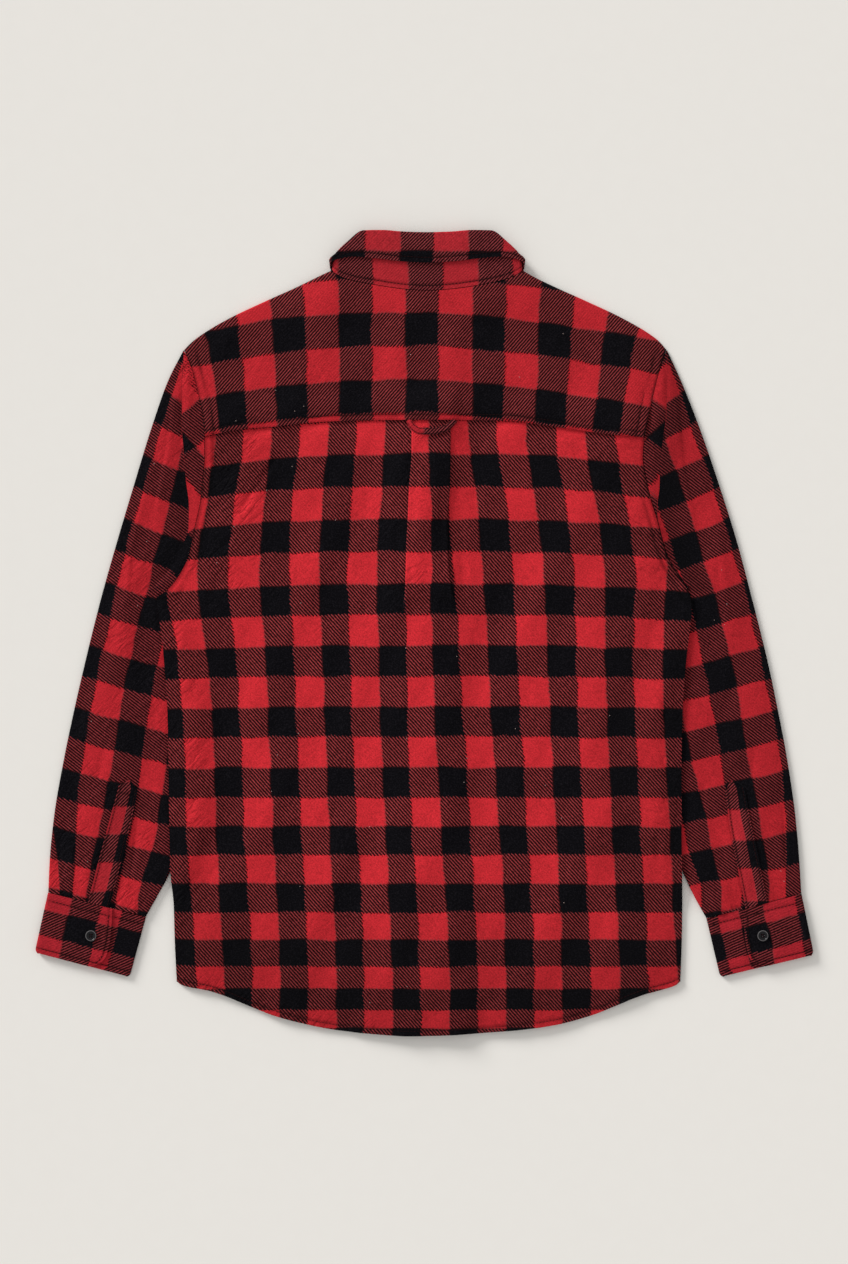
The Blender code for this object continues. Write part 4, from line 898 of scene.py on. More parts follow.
def sleeve_check(side, across, down):
    """Counts of a sleeve's check at a place of the laying table."""
    lines, rows, sign = SLEEVE_LINES[side], SLEEVE_ROWS[side], INWARD[side]
    top = lines["down"][0]
    over = np.minimum(down, top) - top
    tilt = {name: (lines[name][1] - lines[name][0]) / (lines["down"][1] - top) for name in "abcd"}
    line = {name: sign * (look_up(lines, "down", name, down) + over * tilt[name]) for name in "abcd"}
    place = sign * across
    stripe = steps(place, *((line[name], count) for count, name in enumerate("abcd", 2)))
    at = down - look_up(rows, "down", "slope", down) * (place - line["a"])
    first, last = rows["down"][0], rows["down"][-1]
    past_ends = np.minimum(at, first) - first + np.maximum(at, last) - last
    return stripe, look_up(rows, "down", "row", at) + past_ends / CHECK_ROW


def make_sleeve(side, material):
    """A sleeve: a flattened tube of rings from the armhole seam to the cuff."""
    station = np.linspace(0, 11, 166)[:, None]
    upper = np.linspace(0.035, 0.975, 84)
    lower = np.linspace(0.96, 0.05, 50)
    across_end, down_end = sleeve_place(side, station, np.array((0.0, 1.0)))
    width = np.hypot(across_end[:, 1:] - across_end[:, :1], down_end[:, 1:] - down_end[:, :1])
    radius = (sleeve_top(side, station, np.array((0.02, 0.98))) - FLOOR_LAYER) / 2
    angles = np.radians(np.linspace(-90, 90, 11))
    outer_share = (CLOTH / 2 + radius[:, :1] * (1 - np.cos(angles))) / width
    inner_share = 1 - (CLOTH / 2 + radius[:, 1:] * (1 - np.cos(angles[::-1]))) / width
    over, beneath = (np.broadcast_to(part, (len(station), len(part))) for part in (upper, lower))
    share = np.concatenate((outer_share, over, inner_share, beneath), axis=1)
    height = np.concatenate((FLOOR_LAYER + radius[:, :1] * (1 + np.sin(angles)),
                             sleeve_top(side, station, over),
                             FLOOR_LAYER + radius[:, 1:] * (1 + np.sin(angles[::-1])),
                             np.full(beneath.shape, FLOOR_LAYER)), axis=1)
    across, down = sleeve_place(side, station, share)
    hidden = slice(share.shape[1] - len(lower), None)
    across[:, hidden], down[:, hidden] = sleeve_place(side, np.maximum(station, 0.05), beneath)
    tuck = 6.5 * ease((share - 0.80) / 0.2) * window(station, 0.35, 0.5, 4.2, 2.0)
    across = across + tuck * INWARD[side]
    stripe, row = sleeve_check(side, across, down)
    edge = stripe[:, hidden.start - 6:hidden.start - 5]
    stripe[:, hidden] = 2 * edge - stripe[:, hidden]
    stripe = np.concatenate((stripe, 2 * edge - stripe[:, :1]), axis=1)
    row = np.concatenate((row, row[:, :1]), axis=1)
    shown = np.arange(share.shape[1]) < hidden.start
    inset = np.where(shown, head_inset(side, across, down), -9) - 90 * ease((down - 590) / 8)
    head = head_check(side, across, down)
    # Painted shade: the right sleeve is made evenly darker, and both sleeves are darker beside the armhole
    # seam, where the body's edge shades them.
    even, beside_seam = SLEEVE_SHADE[side]
    wrinkles = 0.3 + 0.6 * ease((station - 7) / 2.5) + 0.3 * bump(station - 5, 1.5) + 0.4 * bump(inset - 2, 9)
    return wall(f"{side}_sleeve", grid(across, down, height), pair(stripe, row), material, ring=True,
                wrinkles=wrinkles, turned=(np.concatenate((head, head[:, :1]), axis=1), inset),
                groove=even + beside_seam * bump(inset + 8, 12))


def on_sleeve(side, across, down):
    """Height of a sleeve's upper layer under a place, found by Newton's steps on its surface."""
    station, share = np.full(np.shape(across), 9.0), np.full(np.shape(across), 0.5)
    nudge = 0.001
    for _ in range(25):
        here = sleeve_place(side, station, share)
        along = [(there - now) / nudge for there, now in zip(sleeve_place(side, station + nudge, share), here)]
        aside = [(there - now) / nudge for there, now in zip(sleeve_place(side, station, share + nudge), here)]
        miss = (across - here[0], down - here[1])
        area = along[0] * aside[1] - along[1] * aside[0]
        station = np.clip(station + (miss[0] * aside[1] - miss[1] * aside[0]) / area, 0.1, 10.99)
        share = np.clip(share + (along[0] * miss[1] - along[1] * miss[0]) / area, 0.01, 0.99)
    return sleeve_top(side, station, share)


def strip_places(rows, run, half, share):
    """Across and down places of a strip along a table's path, with half its width on both sides."""
    across, down = (look_up(rows, "run", name, run) for name in ("across", "down"))
    along = np.stack((np.gradient(across), np.gradient(down)), axis=1)
    along = (along / np.linalg.norm(along, axis=1, keepdims=True)) * half[:, None]
    return across[:, None] - along[:, 1:] * share, down[:, None] + along[:, :1] * share


def cuff_top(side, across):
    """Down place of a cuff's upper edge at an across place."""
    first_across, first_down, last_across, last_down = (CUFF[side][name][0] for name in CORNERS)
    return blend(first_down, last_down, (across - first_across) / (last_across - first_across))


def cuff_length(side):
    """Length of a cuff from its upper to its lower edge."""
    return math.hypot(*(np.diff(CUFF[side][name])[0] for name in CORNERS[:2]))


PLACKET_ROWS = {
    "left": ((775, 781, 806, 834, 862, 891, 920), (12.8, 13, 14, 15, 16, 17, 18)),
    "right": ((775, 781, 809, 839, 868, 900, 930), (12.8, 13, 14, 15, 16, 17, 18))}


def make_sleeve_placket(side, material):
    """A sleeve placket: a pointed strip laid on the sleeve, with an edge line of stitches all round."""
    strip = SLEEVE_PLACKET[side]
    run = np.concatenate((np.linspace(0, 0.07, 10)[:-1], np.linspace(0.07, 1, 84)))
    half = np.interp(run, strip["run"], strip["half"])
    share = np.linspace(-1, 1, 15)
    across, down = strip_places(strip, run, half, share)
    overshoot = down[-1:] - (cuff_top(side, across[-1:]) - SEAM)
    down = down - ease((run - 0.8) / 0.2)[:, None] * overshoot
    inset = half[:, None] * (1 - np.abs(share))
    groove = np.maximum(bump(inset - 2.2, 0.8), bump(run * 125 - 14, 0.9)[:, None] * (inset > 2))
    height = on_sleeve(side, across, down) + STEP + 0.05 - 0.2 * groove
    split = 0.3 if side == "left" else 0.2
    stripe = steps(-share, (-1, 0.1), (split, 1), (1, 1.9))
    check = pair(stripe, np.interp(down, *PLACKET_ROWS[side]))
    return wall(f"{side}_sleeve_placket", grid(across, down, height), check, material, groove=groove)


def make_cuff(side, material):
    """A cuff: one strip that starts under its lap, runs round the wrist and ends on the lap."""
    rows = CUFF[side]
    bottom = CUFF_CLOTH / 2
    under = bottom + CUFF_CLOTH + 0.4
    lap = under + CUFF_CLOTH + 0.4
    depth = CUFF_DEPTHS[:, None]
    ends = [np.interp(depth, rows["depth"], rows[name]) for name in CORNERS]
    width = np.hypot(ends[2] - ends[0], ends[3] - ends[1])
    length = cuff_length(side)
    trim = look_up(CUFF_LAP, "depth", "trim", depth)
    small, large = (under - bottom) / 2, (lap - bottom) / 2
    angles = np.radians(np.linspace(90, -90, CUFF_TURN))
    lap_end = (look_up(CUFF_LAP, "depth", "end", depth) + (0.05 if side == "left" else 0)) * width
    inner = (width - trim - CUFF_CLOTH / 2) - small * (1 - np.cos(angles))
    outer = trim + CUFF_CLOTH / 2 + large * (1 - np.cos(angles[::-1]))
    start = blend(0.27 * width, inner[:, :1], np.linspace(0, 1, CUFF_UNDER + 1)[:-1])
    beneath = blend(inner[:, -1:], outer[:, :1], np.linspace(0, 1, CUFF_BENEATH + 2)[1:-1])
    over = blend(outer[:, -1:], lap_end, np.linspace(0, 1, CUFF_OVER + 1)[1:])
    place = np.concatenate((start, inner, beneath, outer, over), axis=1)
    share = place / width
    base = np.concatenate((np.full(CUFF_UNDER, under), (under + bottom) / 2 + small * np.sin(angles),
                           np.full(CUFF_BENEATH, bottom), (lap + bottom) / 2 + large * np.sin(angles[::-1]),
                           np.full(CUFF_OVER, lap)))
    column = np.arange(len(base))
    from_top, from_bottom = depth * length, (1 - depth) * length
    to_lap = np.where(column >= CUFF_FIRST_OVER - 3, lap_end - place, 99)
    groove = np.maximum(bump(from_top - CUFF_STITCHES[0], 0.9), bump(from_bottom - CUFF_STITCHES[1], 0.9))
    groove = np.maximum(groove, bump(to_lap - 3.5, 0.9))
    puff = 0.35 * ease((from_top - 7) / 6) * ease((from_bottom - 5) / 6)
    soft = puff + 0.10 * swell(blend(ends[0], ends[2], share) * 2.2, depth * 130) - 0.22 * groove
    height = base + np.where(base > bottom + 0.2, soft, 0) * ease((base - bottom) / (small * 1.6))
    stripes, stripe_counts, bands, band_counts, under_shift = CUFF_CHECK[side]
    flat = np.interp(share, stripes, stripe_counts)
    turn = CUFF_UNDER + CUFF_TURN // 2
    shown = column >= turn + CUFF_BENEATH + CUFF_TURN
    stripe = np.where(shown, flat, 2 * flat[:, turn:turn + 1] - flat - under_shift)
    points = grid(blend(ends[0], ends[2], share), blend(ends[1], ends[3], share), height)
    check = pair(stripe, np.interp(depth, bands, band_counts))
    return wall(f"{side}_cuff", points, check, material, thickness=CUFF_CLOTH, groove=groove)


def collar_ring(count=300):
    """Places along the collar from the left front end to the right one, and its layer's middle and turn."""
    values = {name: np.concatenate((COLLAR[name][:0:-1], COLLAR[name])) for name in COLLAR}
    both = np.concatenate((-COLLAR["side"][:0:-1], COLLAR["side"]))
    for name in ("base_across", "top_across", "edge_across"):
        values[name] = COLLAR_CENTRE + np.where(both < 0, -1, 1) * values[name]
    side = np.linspace(-1, 1, count)
    read = {name: smooth(side, both, values[name]) for name in values if name not in ("turn", "side")}
    turn = np.radians(np.interp(side, both, values["turn"]))
    on_back, on_front = (look_up(rows, "across", "down", read["base_across"])
                         for rows in (NECK_BACK, NECK_FRONT))
    base_down = blend(read["base_down"], on_back, ease((0.58 - np.abs(side)) / 0.04))
    read["base_down"] = blend(base_down, on_front, ease((np.abs(side) - 0.70) / 0.06))
    rise = blend(OUTER_BAND_RISE, UNDER_BAND_RISE, ease(side / 0.3 + 0.5))
    front = front_level(read["base_across"], read["base_down"], rise)
    centre, radius = (front + STAND_LEVEL) / 2, (STAND_LEVEL - front) / 2
    return side, read, centre, radius, np.where(side < 0, -1, 1) * np.sin(turn), np.cos(turn)


def make_stand(material):
    """The collar stand: a flattened ring from the neck seam up to the fall, open at the front."""
    side, read, centre, radius, _, out_up = collar_ring()
    run = np.linspace(0, 1, STAND_ROWS)[:, None]
    reach = np.hypot(read["top_across"] - read["base_across"], read["top_down"] - read["base_down"])
    stop = 1 - np.minimum(5.8, reach * 0.52) / reach
    across = blend(read["base_across"], read["top_across"], run * stop)
    from_seam = blend(SEAM, 1.1, ease((np.abs(side) - 0.55) / 0.06))
    end_down = blend(read["base_down"], read["top_down"], stop)
    down = blend(read["base_down"] - from_seam, end_down, run)
    groove = bump(run * reach * stop - STAND_STITCHES, 0.9)
    soft = 0.14 * np.sin(across / 17 + 1) * ease(run * 4) * ease((1 - run) * 3) - 0.18 * groove
    height = centre + radius * out_up + soft * (out_up > 0.9)
    return wall("stand", grid(across, down, height), pair((across - 373) / 35, 0.5), material, groove=groove)


def make_fall(material):
    """The collar fall: a short flange on the stand, the roll over its top, and the leaf outside it."""
    side, read, *layers = collar_ring()
    keep = np.abs(side) < 0.975
    centre, radius, out_across, out_up = (item[keep] for item in layers)
    base, top, edge = (np.stack((read[f"{name}_across"][keep], read[f"{name}_down"][keep]), axis=1)
                       for name in ("base", "top", "edge"))
    top[:, 1] += CLOTH / 2
    reach = np.linalg.norm(base - top, axis=1, keepdims=True)
    to_base = (base - top) / reach
    to_edge = (edge - top) / np.linalg.norm(edge - top, axis=1, keepdims=True)
    flange = np.minimum(5.5, reach * 0.40) - SEAM - CLOTH / 2
    layer = centre + radius * out_up
    leaf = np.where(out_up > 0, layer + COLLAR_ROLL * out_up, layer + (layer - FLOOR_LAYER) * out_up)
    roll = (np.abs(leaf - layer) / 2 + 0.9 * (1 - np.abs(out_up)))[:, None]
    sideways = np.column_stack((3.1 * out_across, 0 * out_across))
    rows = [np.column_stack((top + to_base * flange, layer))]
    for angle in np.radians(np.linspace(0, 180, ROLL_ROWS)):
        towards = to_base if angle < math.pi / 2 else to_edge
        share = (1 - math.cos(angle)) / 2
        place = top + towards * (1 - math.sin(angle)) * roll + sideways * share
        rows.append(np.column_stack((place, blend(layer, leaf, share))))
    start = top + to_edge * roll
    length = np.linalg.norm(edge - start, axis=1)
    groove = [np.zeros_like(length)] * len(rows)
    for run in np.linspace(0, 1, LEAF_ROWS + 1)[1:]:
        from_edge = (1 - run) * length
        groove.append(bump(from_edge - FALL_STITCHES, 0.9))
        soft = 0.3 * ease(run * 3) * ease((from_edge - 4.5) / 4) - 0.18 * groove[-1]
        place = blend(start, edge, run) + sideways * (1 - run)
        rows.append(np.column_stack((place, leaf + soft * (out_up > 0.9))))
    middle = np.array(rows)
    check = pair((middle[..., 0] - 366) / 34, (middle[..., 1] - 220) / 32)
    return wall("fall", middle, check, material, groove=np.array(groove))


def make_armhole_allowance(side, material):
    """The armhole's seam allowance: a narrow strip under the back, just proud of its edge, in the dark thread
    colour as painted shadow along the seam.
    """
    down = np.linspace(354, 602, 125)[:, None]
    across = inside_seam(side, down, np.linspace(-0.52, 5.0, 7))
    middle = grid(across, down, FLOOR_LAYER + STEP * 0.6)
    return wall(f"armhole_allowance_{side}", middle, plain_check(across, down), material,
                thickness=ALLOWANCE_CLOTH)


def make_neck_allowance(material):
    """The neck seam's allowance: a narrow strip under the yoke and the stand, along the back neckline, in the
    dark thread colour as painted shadow along the seam.
    """
    across = np.linspace(336, 518.5, 120)
    down = look_up(NECK_BACK, "across", "down", across) + np.linspace(-2.6, 2.6, 7)[:, None]
    height = np.minimum(yoke_level(across, down), STAND_LEVEL) - CLOTH / 2 - 0.4
    return wall("neck_allowance", grid(across, down, height), plain_check(across, down), material,
                thickness=ALLOWANCE_CLOTH)


def make_loop(material):
    """The hanger loop: a narrow folded strip hanging from the yoke seam over the box pleat."""
    run, share = np.linspace(0, 1, 64), np.linspace(-1, 1, 13)
    across, down = strip_places(LOOP, run, 2.4 + 0.9 * window(run, 0, 0.35, 1, 0.35), share)
    down = np.maximum(down, 421.2)
    groove = bump(np.abs(share) - 0.72, 0.14)
    height = (back_base(across, down) + pleat_rise(across, down) + STEP + 0.35
              + 0.8 * (1 - share ** 2) - 0.1 * groove)
    stripe = steps(run, (0, 0.2), (0.45, 1), (1, 1.9))[:, None] + 0 * share
    return wall("loop", grid(across, down, height), pair(stripe, 0.5), material,
                thickness=LOOP_CLOTH, groove=groove)


def place_capsules(name, middle, along, up, length, radius, material):
    """Many short threads as one piece: each an eight-sided capsule at its middle, lying along its line."""
    around = np.linspace(0, 2 * np.pi, 8, endpoint=False)
    ring_at = np.array((-1.0, -0.93, -0.72, 0, 0.72, 0.93, 1.0)) / 2
    ring_size = np.array((0.05, 0.6, 0.95, 1, 0.95, 0.6, 0.05))
    aside = np.cross(up, along)
    shape = (ring_at[:, None, None] * length * along[:, None, None, :]
             + radius * ring_size[:, None, None] * (np.cos(around)[:, None] * aside[:, None, None, :]
                                                    + np.sin(around)[:, None] * up[:, None, None, :]))
    points = middle[:, None, None, :] + shape
    rings, spokes = len(ring_at), len(around)
    corner = np.arange(rings * spokes).reshape(rings, spokes)
    after = np.roll(corner, -1, axis=1)
    sides = np.stack((corner[:-1], after[:-1], after[1:], corner[1:]), axis=-1).reshape(-1, 4)
    split = np.array(((0, 1, 2, 3), (0, 3, 4, 7), (4, 5, 6, 7)))
    one = np.concatenate((sides, corner[0][split[:, ::-1]], corner[-1][split]))
    faces = (np.arange(len(middle))[:, None, None] * rings * spokes + one).reshape(-1, 4)
    return build(name, points.reshape(-1, 3), faces, material)


def sew(name, path, material):
    """A line of stitches along a path: each thread lies on the cloth, half sunk in its groove."""
    distance = np.concatenate(((0,), np.linalg.norm(np.diff(path, axis=0), axis=1).cumsum()))
    count = max(int(distance[-1] / THREAD_PITCH), 2)
    at = (np.arange(count) + 0.5) * distance[-1] / count

    def read(where):
        """Points of the path at distances along it."""
        return np.stack([np.interp(where, distance, path[:, axis]) for axis in range(3)], axis=1)

    along = read(at + THREAD_LENGTH / 2) - read(at - THREAD_LENGTH / 2)
    along = along / np.linalg.norm(along, axis=1, keepdims=True)
    up = UP - along * along[:, 2:]
    up = up / np.linalg.norm(up, axis=1, keepdims=True)
    return place_capsules(name, read(at), along, up, THREAD_LENGTH, THREAD_RADIUS, material)


def at_index(middle, row, col):
    """Places on a grid of points at fractional rows and columns, straight between its points."""
    row, col = np.broadcast_arrays(np.asarray(row, float), np.asarray(col, float))
    low_row = np.clip(np.floor(row).astype(int), 0, middle.shape[0] - 2)
    low_col = np.clip(np.floor(col).astype(int), 0, middle.shape[1] - 2)
    down_run, side_run = (row - low_row)[..., None], (col - low_col)[..., None]
    return blend(blend(middle[low_row, low_col], middle[low_row, low_col + 1], side_run),
                 blend(middle[low_row + 1, low_col], middle[low_row + 1, low_col + 1], side_run), down_run)


def make_threads(material):
    """Every line of stitches that shows on the back, the yoke, the cuffs, the plackets and the collar."""
    made = []

    def add(name, path, thickness=CLOTH):
        """Sew along places of a cloth's middle surface, on its upper face."""
        made.append(sew(f"stitches_{name}", path + (0, 0, thickness / 2 + THREAD_LIFT), material))

    def on_back(across, down):
        """Points of the back's surface."""
        return np.column_stack((across, down, back_level(across, down)))

    def on_yoke(across, down):
        """Points of the yoke's surface."""
        return np.column_stack((across, down, yoke_level(across, down) + yoke_relief(across, down)[0]))

    def add_round(name, first, last, columns, part_of):
        """Sew round the collar, at a part of the way between two rows that part_of gives for their gap."""
        low, high = (at_index(LAID[name], row, columns) for row in (first, last))
        row = blend(first, last, part_of(np.linalg.norm(high - low, axis=1)))
        add(name, at_index(LAID[name], row, columns))

    across = np.linspace(182, 675, 700)
    add("hem", on_back(across, hem_line(across) - HEM_STITCHES))
    for side in SIDES:
        for title, surface, first, last, count in (("armhole", on_back, 446, 590, 260),
                                                   ("yoke", on_yoke, 364, 430, 130)):
            down = np.linspace(first, last, count)
            add(f"{title}_{side}", surface(inside_seam(side, down, ARMHOLE_LINES[1]), down))
    across = np.linspace(208, 641, 620)
    for number, inset in enumerate(YOKE_STITCHES, 1):
        add(f"yoke_seam_{number}", on_yoke(across, yoke_line(across) - inset))
    for side in SIDES:
        cuff, length = LAID[f"{side}_cuff"], cuff_length(side)
        from_top, from_bottom = CUFF_STITCHES
        depths = from_top / length, 1 - from_bottom / length
        row_at = partial(np.interp, xp=CUFF_DEPTHS, fp=np.arange(len(CUFF_DEPTHS)))
        for title, row in zip(("top", "bottom"), row_at(depths)):
            over = at_index(cuff, row, np.linspace(CUFF_FIRST_OVER + 1, CUFF_FIRST_OVER + CUFF_OVER - 2, 160))
            under = at_index(cuff, row, np.linspace(0, CUFF_UNDER - 1, 200))
            lap_edge = at_index(cuff, row, cuff.shape[1] - 1.0)
            clear = np.hypot(*(under - over[0])[:, :2].T) > np.hypot(*(lap_edge - over[0])[:2]) + 1.5
            add(f"cuff_{title}_{side}", over, CUFF_CLOTH)
            add(f"cuff_{title}_under_{side}", under[clear], CUFF_CLOTH)
        rows = row_at(np.linspace(*depths, 120))
        add(f"cuff_lap_{side}", at_index(cuff, rows, CUFF_FIRST_OVER + CUFF_OVER - 3.5), CUFF_CLOTH)
        for edge, column in (("inner", 1.35), ("outer", 12.65)):
            placket = at_index(LAID[f"{side}_sleeve_placket"], np.linspace(9, 91.5, 200), column)
            add(f"placket_{edge}_{side}", placket)
    middle = LAID["fall"].shape[1] / 2
    add_round("stand", 0, STAND_ROWS - 1, np.linspace(76, 223, 500), lambda gap: STAND_STITCHES / gap)
    add_round("fall", ROLL_ROWS, ROLL_ROWS + LEAF_ROWS, np.linspace(middle - 72, middle + 71, 500),
              lambda gap: 1 - FALL_STITCHES / gap)
    for edge, column in (("upper", 1.7), ("lower", 10.3)):
        add(f"loop_{edge}", at_index(LAID["loop"], np.linspace(3, 60, 160), column), LOOP_CLOTH)
    return made


def on_table(node):
    """A node's middle on the laying table and the height of its underside, from its solid's box."""
    low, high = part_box(node)
    return ((low[0] + high[0]) / 2 / MM + MIDDLE_ACROSS, MIDDLE_DOWN - (low[1] + high[1]) / 2 / MM,
            low[2] / MM)


def make_button_threads(material):
    """Two short bars of thread on each cuff button, from hole to hole across its dished face."""
    middle, along = [], []
    for node, turn in (("cuff_button_left", 0.5), ("cuff_button_right", -0.4)):
        across, down, low = on_table(node)
        for aside in (-1.1, 1.1):
            middle.append((across - math.sin(turn) * aside, down + math.cos(turn) * aside,
                           low + BUTTON_HEIGHT * 0.68))
            along.append((math.cos(turn), math.sin(turn), 0.0))
    return place_capsules("button_threads", np.array(middle), np.array(along), np.tile(UP, (4, 1)), 2.6, 0.34,
                          material)


def make_lint(material):
    """A few pale specks of lint, strewn over the back, the yoke and the sleeves from a fixed seed."""
    draw = np.random.default_rng(11)
    on_sleeves = (6, (20, 160), (20, 80))
    places = []
    for piece, (count, rows, cols) in (("back", (26, (12, 205), (6, 190))),
                                       ("yoke_cloth", (7, (3, 42), (10, 190))),
                                       ("left_sleeve", on_sleeves), ("right_sleeve", on_sleeves)):
        places.append(at_index(LAID[piece], draw.uniform(*rows, count), draw.uniform(*cols, count)))
    middle = np.concatenate(places)
    middle[:, 2] += CLOTH / 2 + 0.1
    turn = draw.uniform(0, 2 * np.pi, len(middle))
    along = np.column_stack((np.cos(turn), np.sin(turn), 0 * turn))
    return place_capsules("lint", middle, along, np.tile(UP, (len(middle), 1)), 1.0, 0.22, material)


BUTTON_PROFILE = table(
    "run radius height",
    (0, 0.02, 0.02), (1, 0.8, 0), (2, 0.95, 0.1), (3, 1, 0.42), (4, 0.985, 0.78), (5, 0.92, 0.97),
    (6, 0.85, 1), (7, 0.78, 0.93), (8, 0.7, 0.78), (9, 0.6, 0.7), (10, 0.02, 0.66))


def make_button(node, material):
    """A four-hole button: a dished face inside a rolled rim, on a polar grid, with four pits."""
    middle_across, middle_down, low = on_table(node)
    spokes = 96
    run = np.concatenate((np.linspace(0, 9, 55)[:-1], np.linspace(9, 10, 34)))[:, None]
    radius = look_up(BUTTON_PROFILE, "run", "radius", run) * BUTTON_RADIUS
    height = look_up(BUTTON_PROFILE, "run", "height", run) * BUTTON_HEIGHT
    around = np.linspace(0, 2 * np.pi, spokes, endpoint=False)
    across, down = radius * np.cos(around), radius * np.sin(around)
    for turn in np.radians((45, 135, 225, 315)):
        away = np.hypot(across - 1.55 * np.cos(turn), down - 1.55 * np.sin(turn))
        height = height - np.exp(-(away / 0.78) ** 6) * (run > 8)
    level = height if node.startswith("cuff") else BUTTON_HEIGHT - height
    points = grid(middle_across + across, middle_down + down, low + level)
    index = np.arange(run.size * spokes).reshape(run.size, spokes)
    after = np.roll(index, -1, axis=1)
    faces = [np.stack((index[:-1], after[:-1], after[1:], index[1:]), axis=-1).reshape(-1, 4)]
    for fan, turned in ((index[0], 1), (index[-1], -1)):
        near, far = fan[:spokes // 2], fan[::-1][:spokes // 2]
        faces.append(np.stack((near[:-1], near[1:], far[1:], far[:-1]), axis=1)[:, ::turned])
    # Painted highlight: a lighter ring of colour along the rim's crest.
    worn = np.broadcast_to(bump(run - 5.4, 0.8), across.shape).ravel()
    return build(f"{node}_turned", points.reshape(-1, 3), np.concatenate(faces), material,
                 values={"worn": worn})


def fill(tree, step, inputs):
    """Give a node its inputs: each is a socket to link or a constant."""
    for place, term in inputs.items():
        if isinstance(term, bpy.types.NodeSocket):
            tree.links.new(term, step.inputs[place])
        else:
            step.inputs[place].default_value = term


def shader_node(tree, kind, inputs=None, **settings):
    """A new shader node with its settings and inputs."""
    step = tree.nodes.new(f"ShaderNode{kind}")
    for name, setting in settings.items():
        setattr(step, name, setting)
    fill(tree, step, inputs or {})
    return step


def value(tree, operation, *terms):
    """One maths step in a node tree; each term is a socket or a number."""
    return shader_node(tree, "Math", dict(enumerate(terms)), operation=operation).outputs[0]


def mixed(tree, factor, first, second):
    """A colour between two, by a factor; each is a socket or a constant."""
    return shader_node(tree, "Mix", {0: factor, 6: first, 7: second}, data_type="RGBA").outputs[2]


def noise(tree, vector, scale, detail):
    """A noise value from 0 to 1 at a scale in cells for each unit of the vector."""
    return shader_node(tree, "TexNoise", {"Vector": vector, "Scale": scale, "Detail": detail}).outputs["Fac"]


def ramp(tree, term, low, high):
    """A smooth step of a term from 0 at low to 1 at high."""
    return shader_node(tree, "MapRange", {"Value": term, "From Min": low, "From Max": high},
                       interpolation_type="SMOOTHSTEP").outputs["Result"]


def attribute(tree, name):
    """A point value that the mesh carries."""
    return shader_node(tree, "Attribute", attribute_name=name).outputs["Fac"]


def counts_of(tree, name):
    return shader_node(tree, "UVMap", uv_map=name).outputs["UV"]


def object_place(tree):
    """The place on the object, in metres."""
    return shader_node(tree, "TexCoord").outputs["Object"]


def parts(tree, vector):
    """The three numbers of a vector."""
    return shader_node(tree, "SeparateXYZ", {0: vector}).outputs


def srgb(red, green, blue):
    """A linear colour from 8-bit display values."""
    part = np.array((red, green, blue)) / 255
    linear = np.where(part <= 0.04045, part / 12.92, ((part + 0.055) / 1.055) ** 2.4)
    return (*(float(item) for item in linear), 1.0)


def check_group():
    """Node group: the brushed twill check from its counts, in red, black and a twill of both, darkened by
    painted shade where its groove value is high.
    """
    tree = bpy.data.node_groups.new("buffalo_check", "ShaderNodeTree")
    for name, kind, start in (
            ("Check", "Vector", (0, 0, 0)), ("Painted Shade", "Float", 0.0),
            ("Twill Across", "Float", 2.0), ("Twill Along", "Float", 2.0), ("Mottle", "Float", 0.5),
            ("Red", "Color", srgb(200, 40, 48)), ("Black", "Color", srgb(5, 4, 8)),
            ("Light Twill", "Color", srgb(150, 54, 58)), ("Dark Twill", "Color", srgb(24, 1, 2)),
            ("Black Nap", "Color", srgb(19, 17, 21))):
        tree.interface.new_socket(name, in_out="INPUT", socket_type=f"NodeSocket{kind}").default_value = start
    for name, kind in (("Color", "Color"), ("Height", "Float")):
        tree.interface.new_socket(name, in_out="OUTPUT", socket_type=f"NodeSocket{kind}")
    given = tree.nodes.new("NodeGroupInput").outputs
    add, less, times = (partial(value, tree, name) for name in ("ADD", "SUBTRACT", "MULTIPLY"))
    at = shader_node(tree, "VectorMath", {0: object_place(tree), "Scale": 1000},
                     operation="SCALE").outputs["Vector"]
    place = parts(tree, at)
    nap = ramp(tree, noise(tree, at, 0.75, 4), 0.22, 0.78)
    patch, cloud = noise(tree, at, 0.16, 2), noise(tree, at, 0.02, 2)
    wobble = times(less(patch, 0.5), 1.6)
    lean = add(times(place[0], given["Twill Across"]), times(place[1], given["Twill Along"]))
    twill = ramp(tree, value(tree, "SINE", add(lean, wobble)), -0.20, 1.1)
    ragged = add(times(less(twill, 0.5), 0.05), times(less(nap, 0.5), 0.06))
    red = []
    for count, scale in zip(parts(tree, given["Check"]), (0.033, 0.027)):
        drift = times(less(noise(tree, at, scale, 1), 0.5), 0.16)
        wave = value(tree, "SINE", times(add(add(count, drift), ragged), math.pi))
        red.append(ramp(tree, wave, -0.07, 0.07))
    strength = ramp(tree, add(times(less(nap, 0.5), given["Mottle"]), twill), -0.10, 1.10)
    cross = mixed(tree, strength, given["Dark Twill"], given["Light Twill"])
    black = mixed(tree, ramp(tree, nap, 0.30, 1.15), given["Black"], given["Black Nap"])
    colour = mixed(tree, value(tree, "MAXIMUM", *red), black, cross)
    colour = mixed(tree, times(*red), colour, given["Red"])
    uneven = add(times(nap, 0.58), add(times(patch, 0.26), times(cloud, 0.22)))
    tone = times(add(0.47, uneven), add(0.95, times(twill, 0.10)))
    # Painted shade: the colour is made up to 60% darker where the groove value is high.
    tone = times(tone, less(1.0, times(given["Painted Shade"], 0.60)))
    toned = shader_node(tree, "VectorMath", {0: colour, "Scale": tone}, operation="SCALE").outputs["Vector"]
    fill(tree, tree.nodes.new("NodeGroupOutput"),
         {"Color": toned, "Height": add(times(twill, 0.55), times(nap, 0.45))})
    return tree


def new_material(name, paint):
    """A material; paint takes its node tree and gives what goes into the shader's sockets."""
    material = bpy.data.materials.new(name)
    material.use_nodes = True
    tree = material.node_tree
    fill(tree, tree.nodes["Principled BSDF"], paint(tree))
    return material


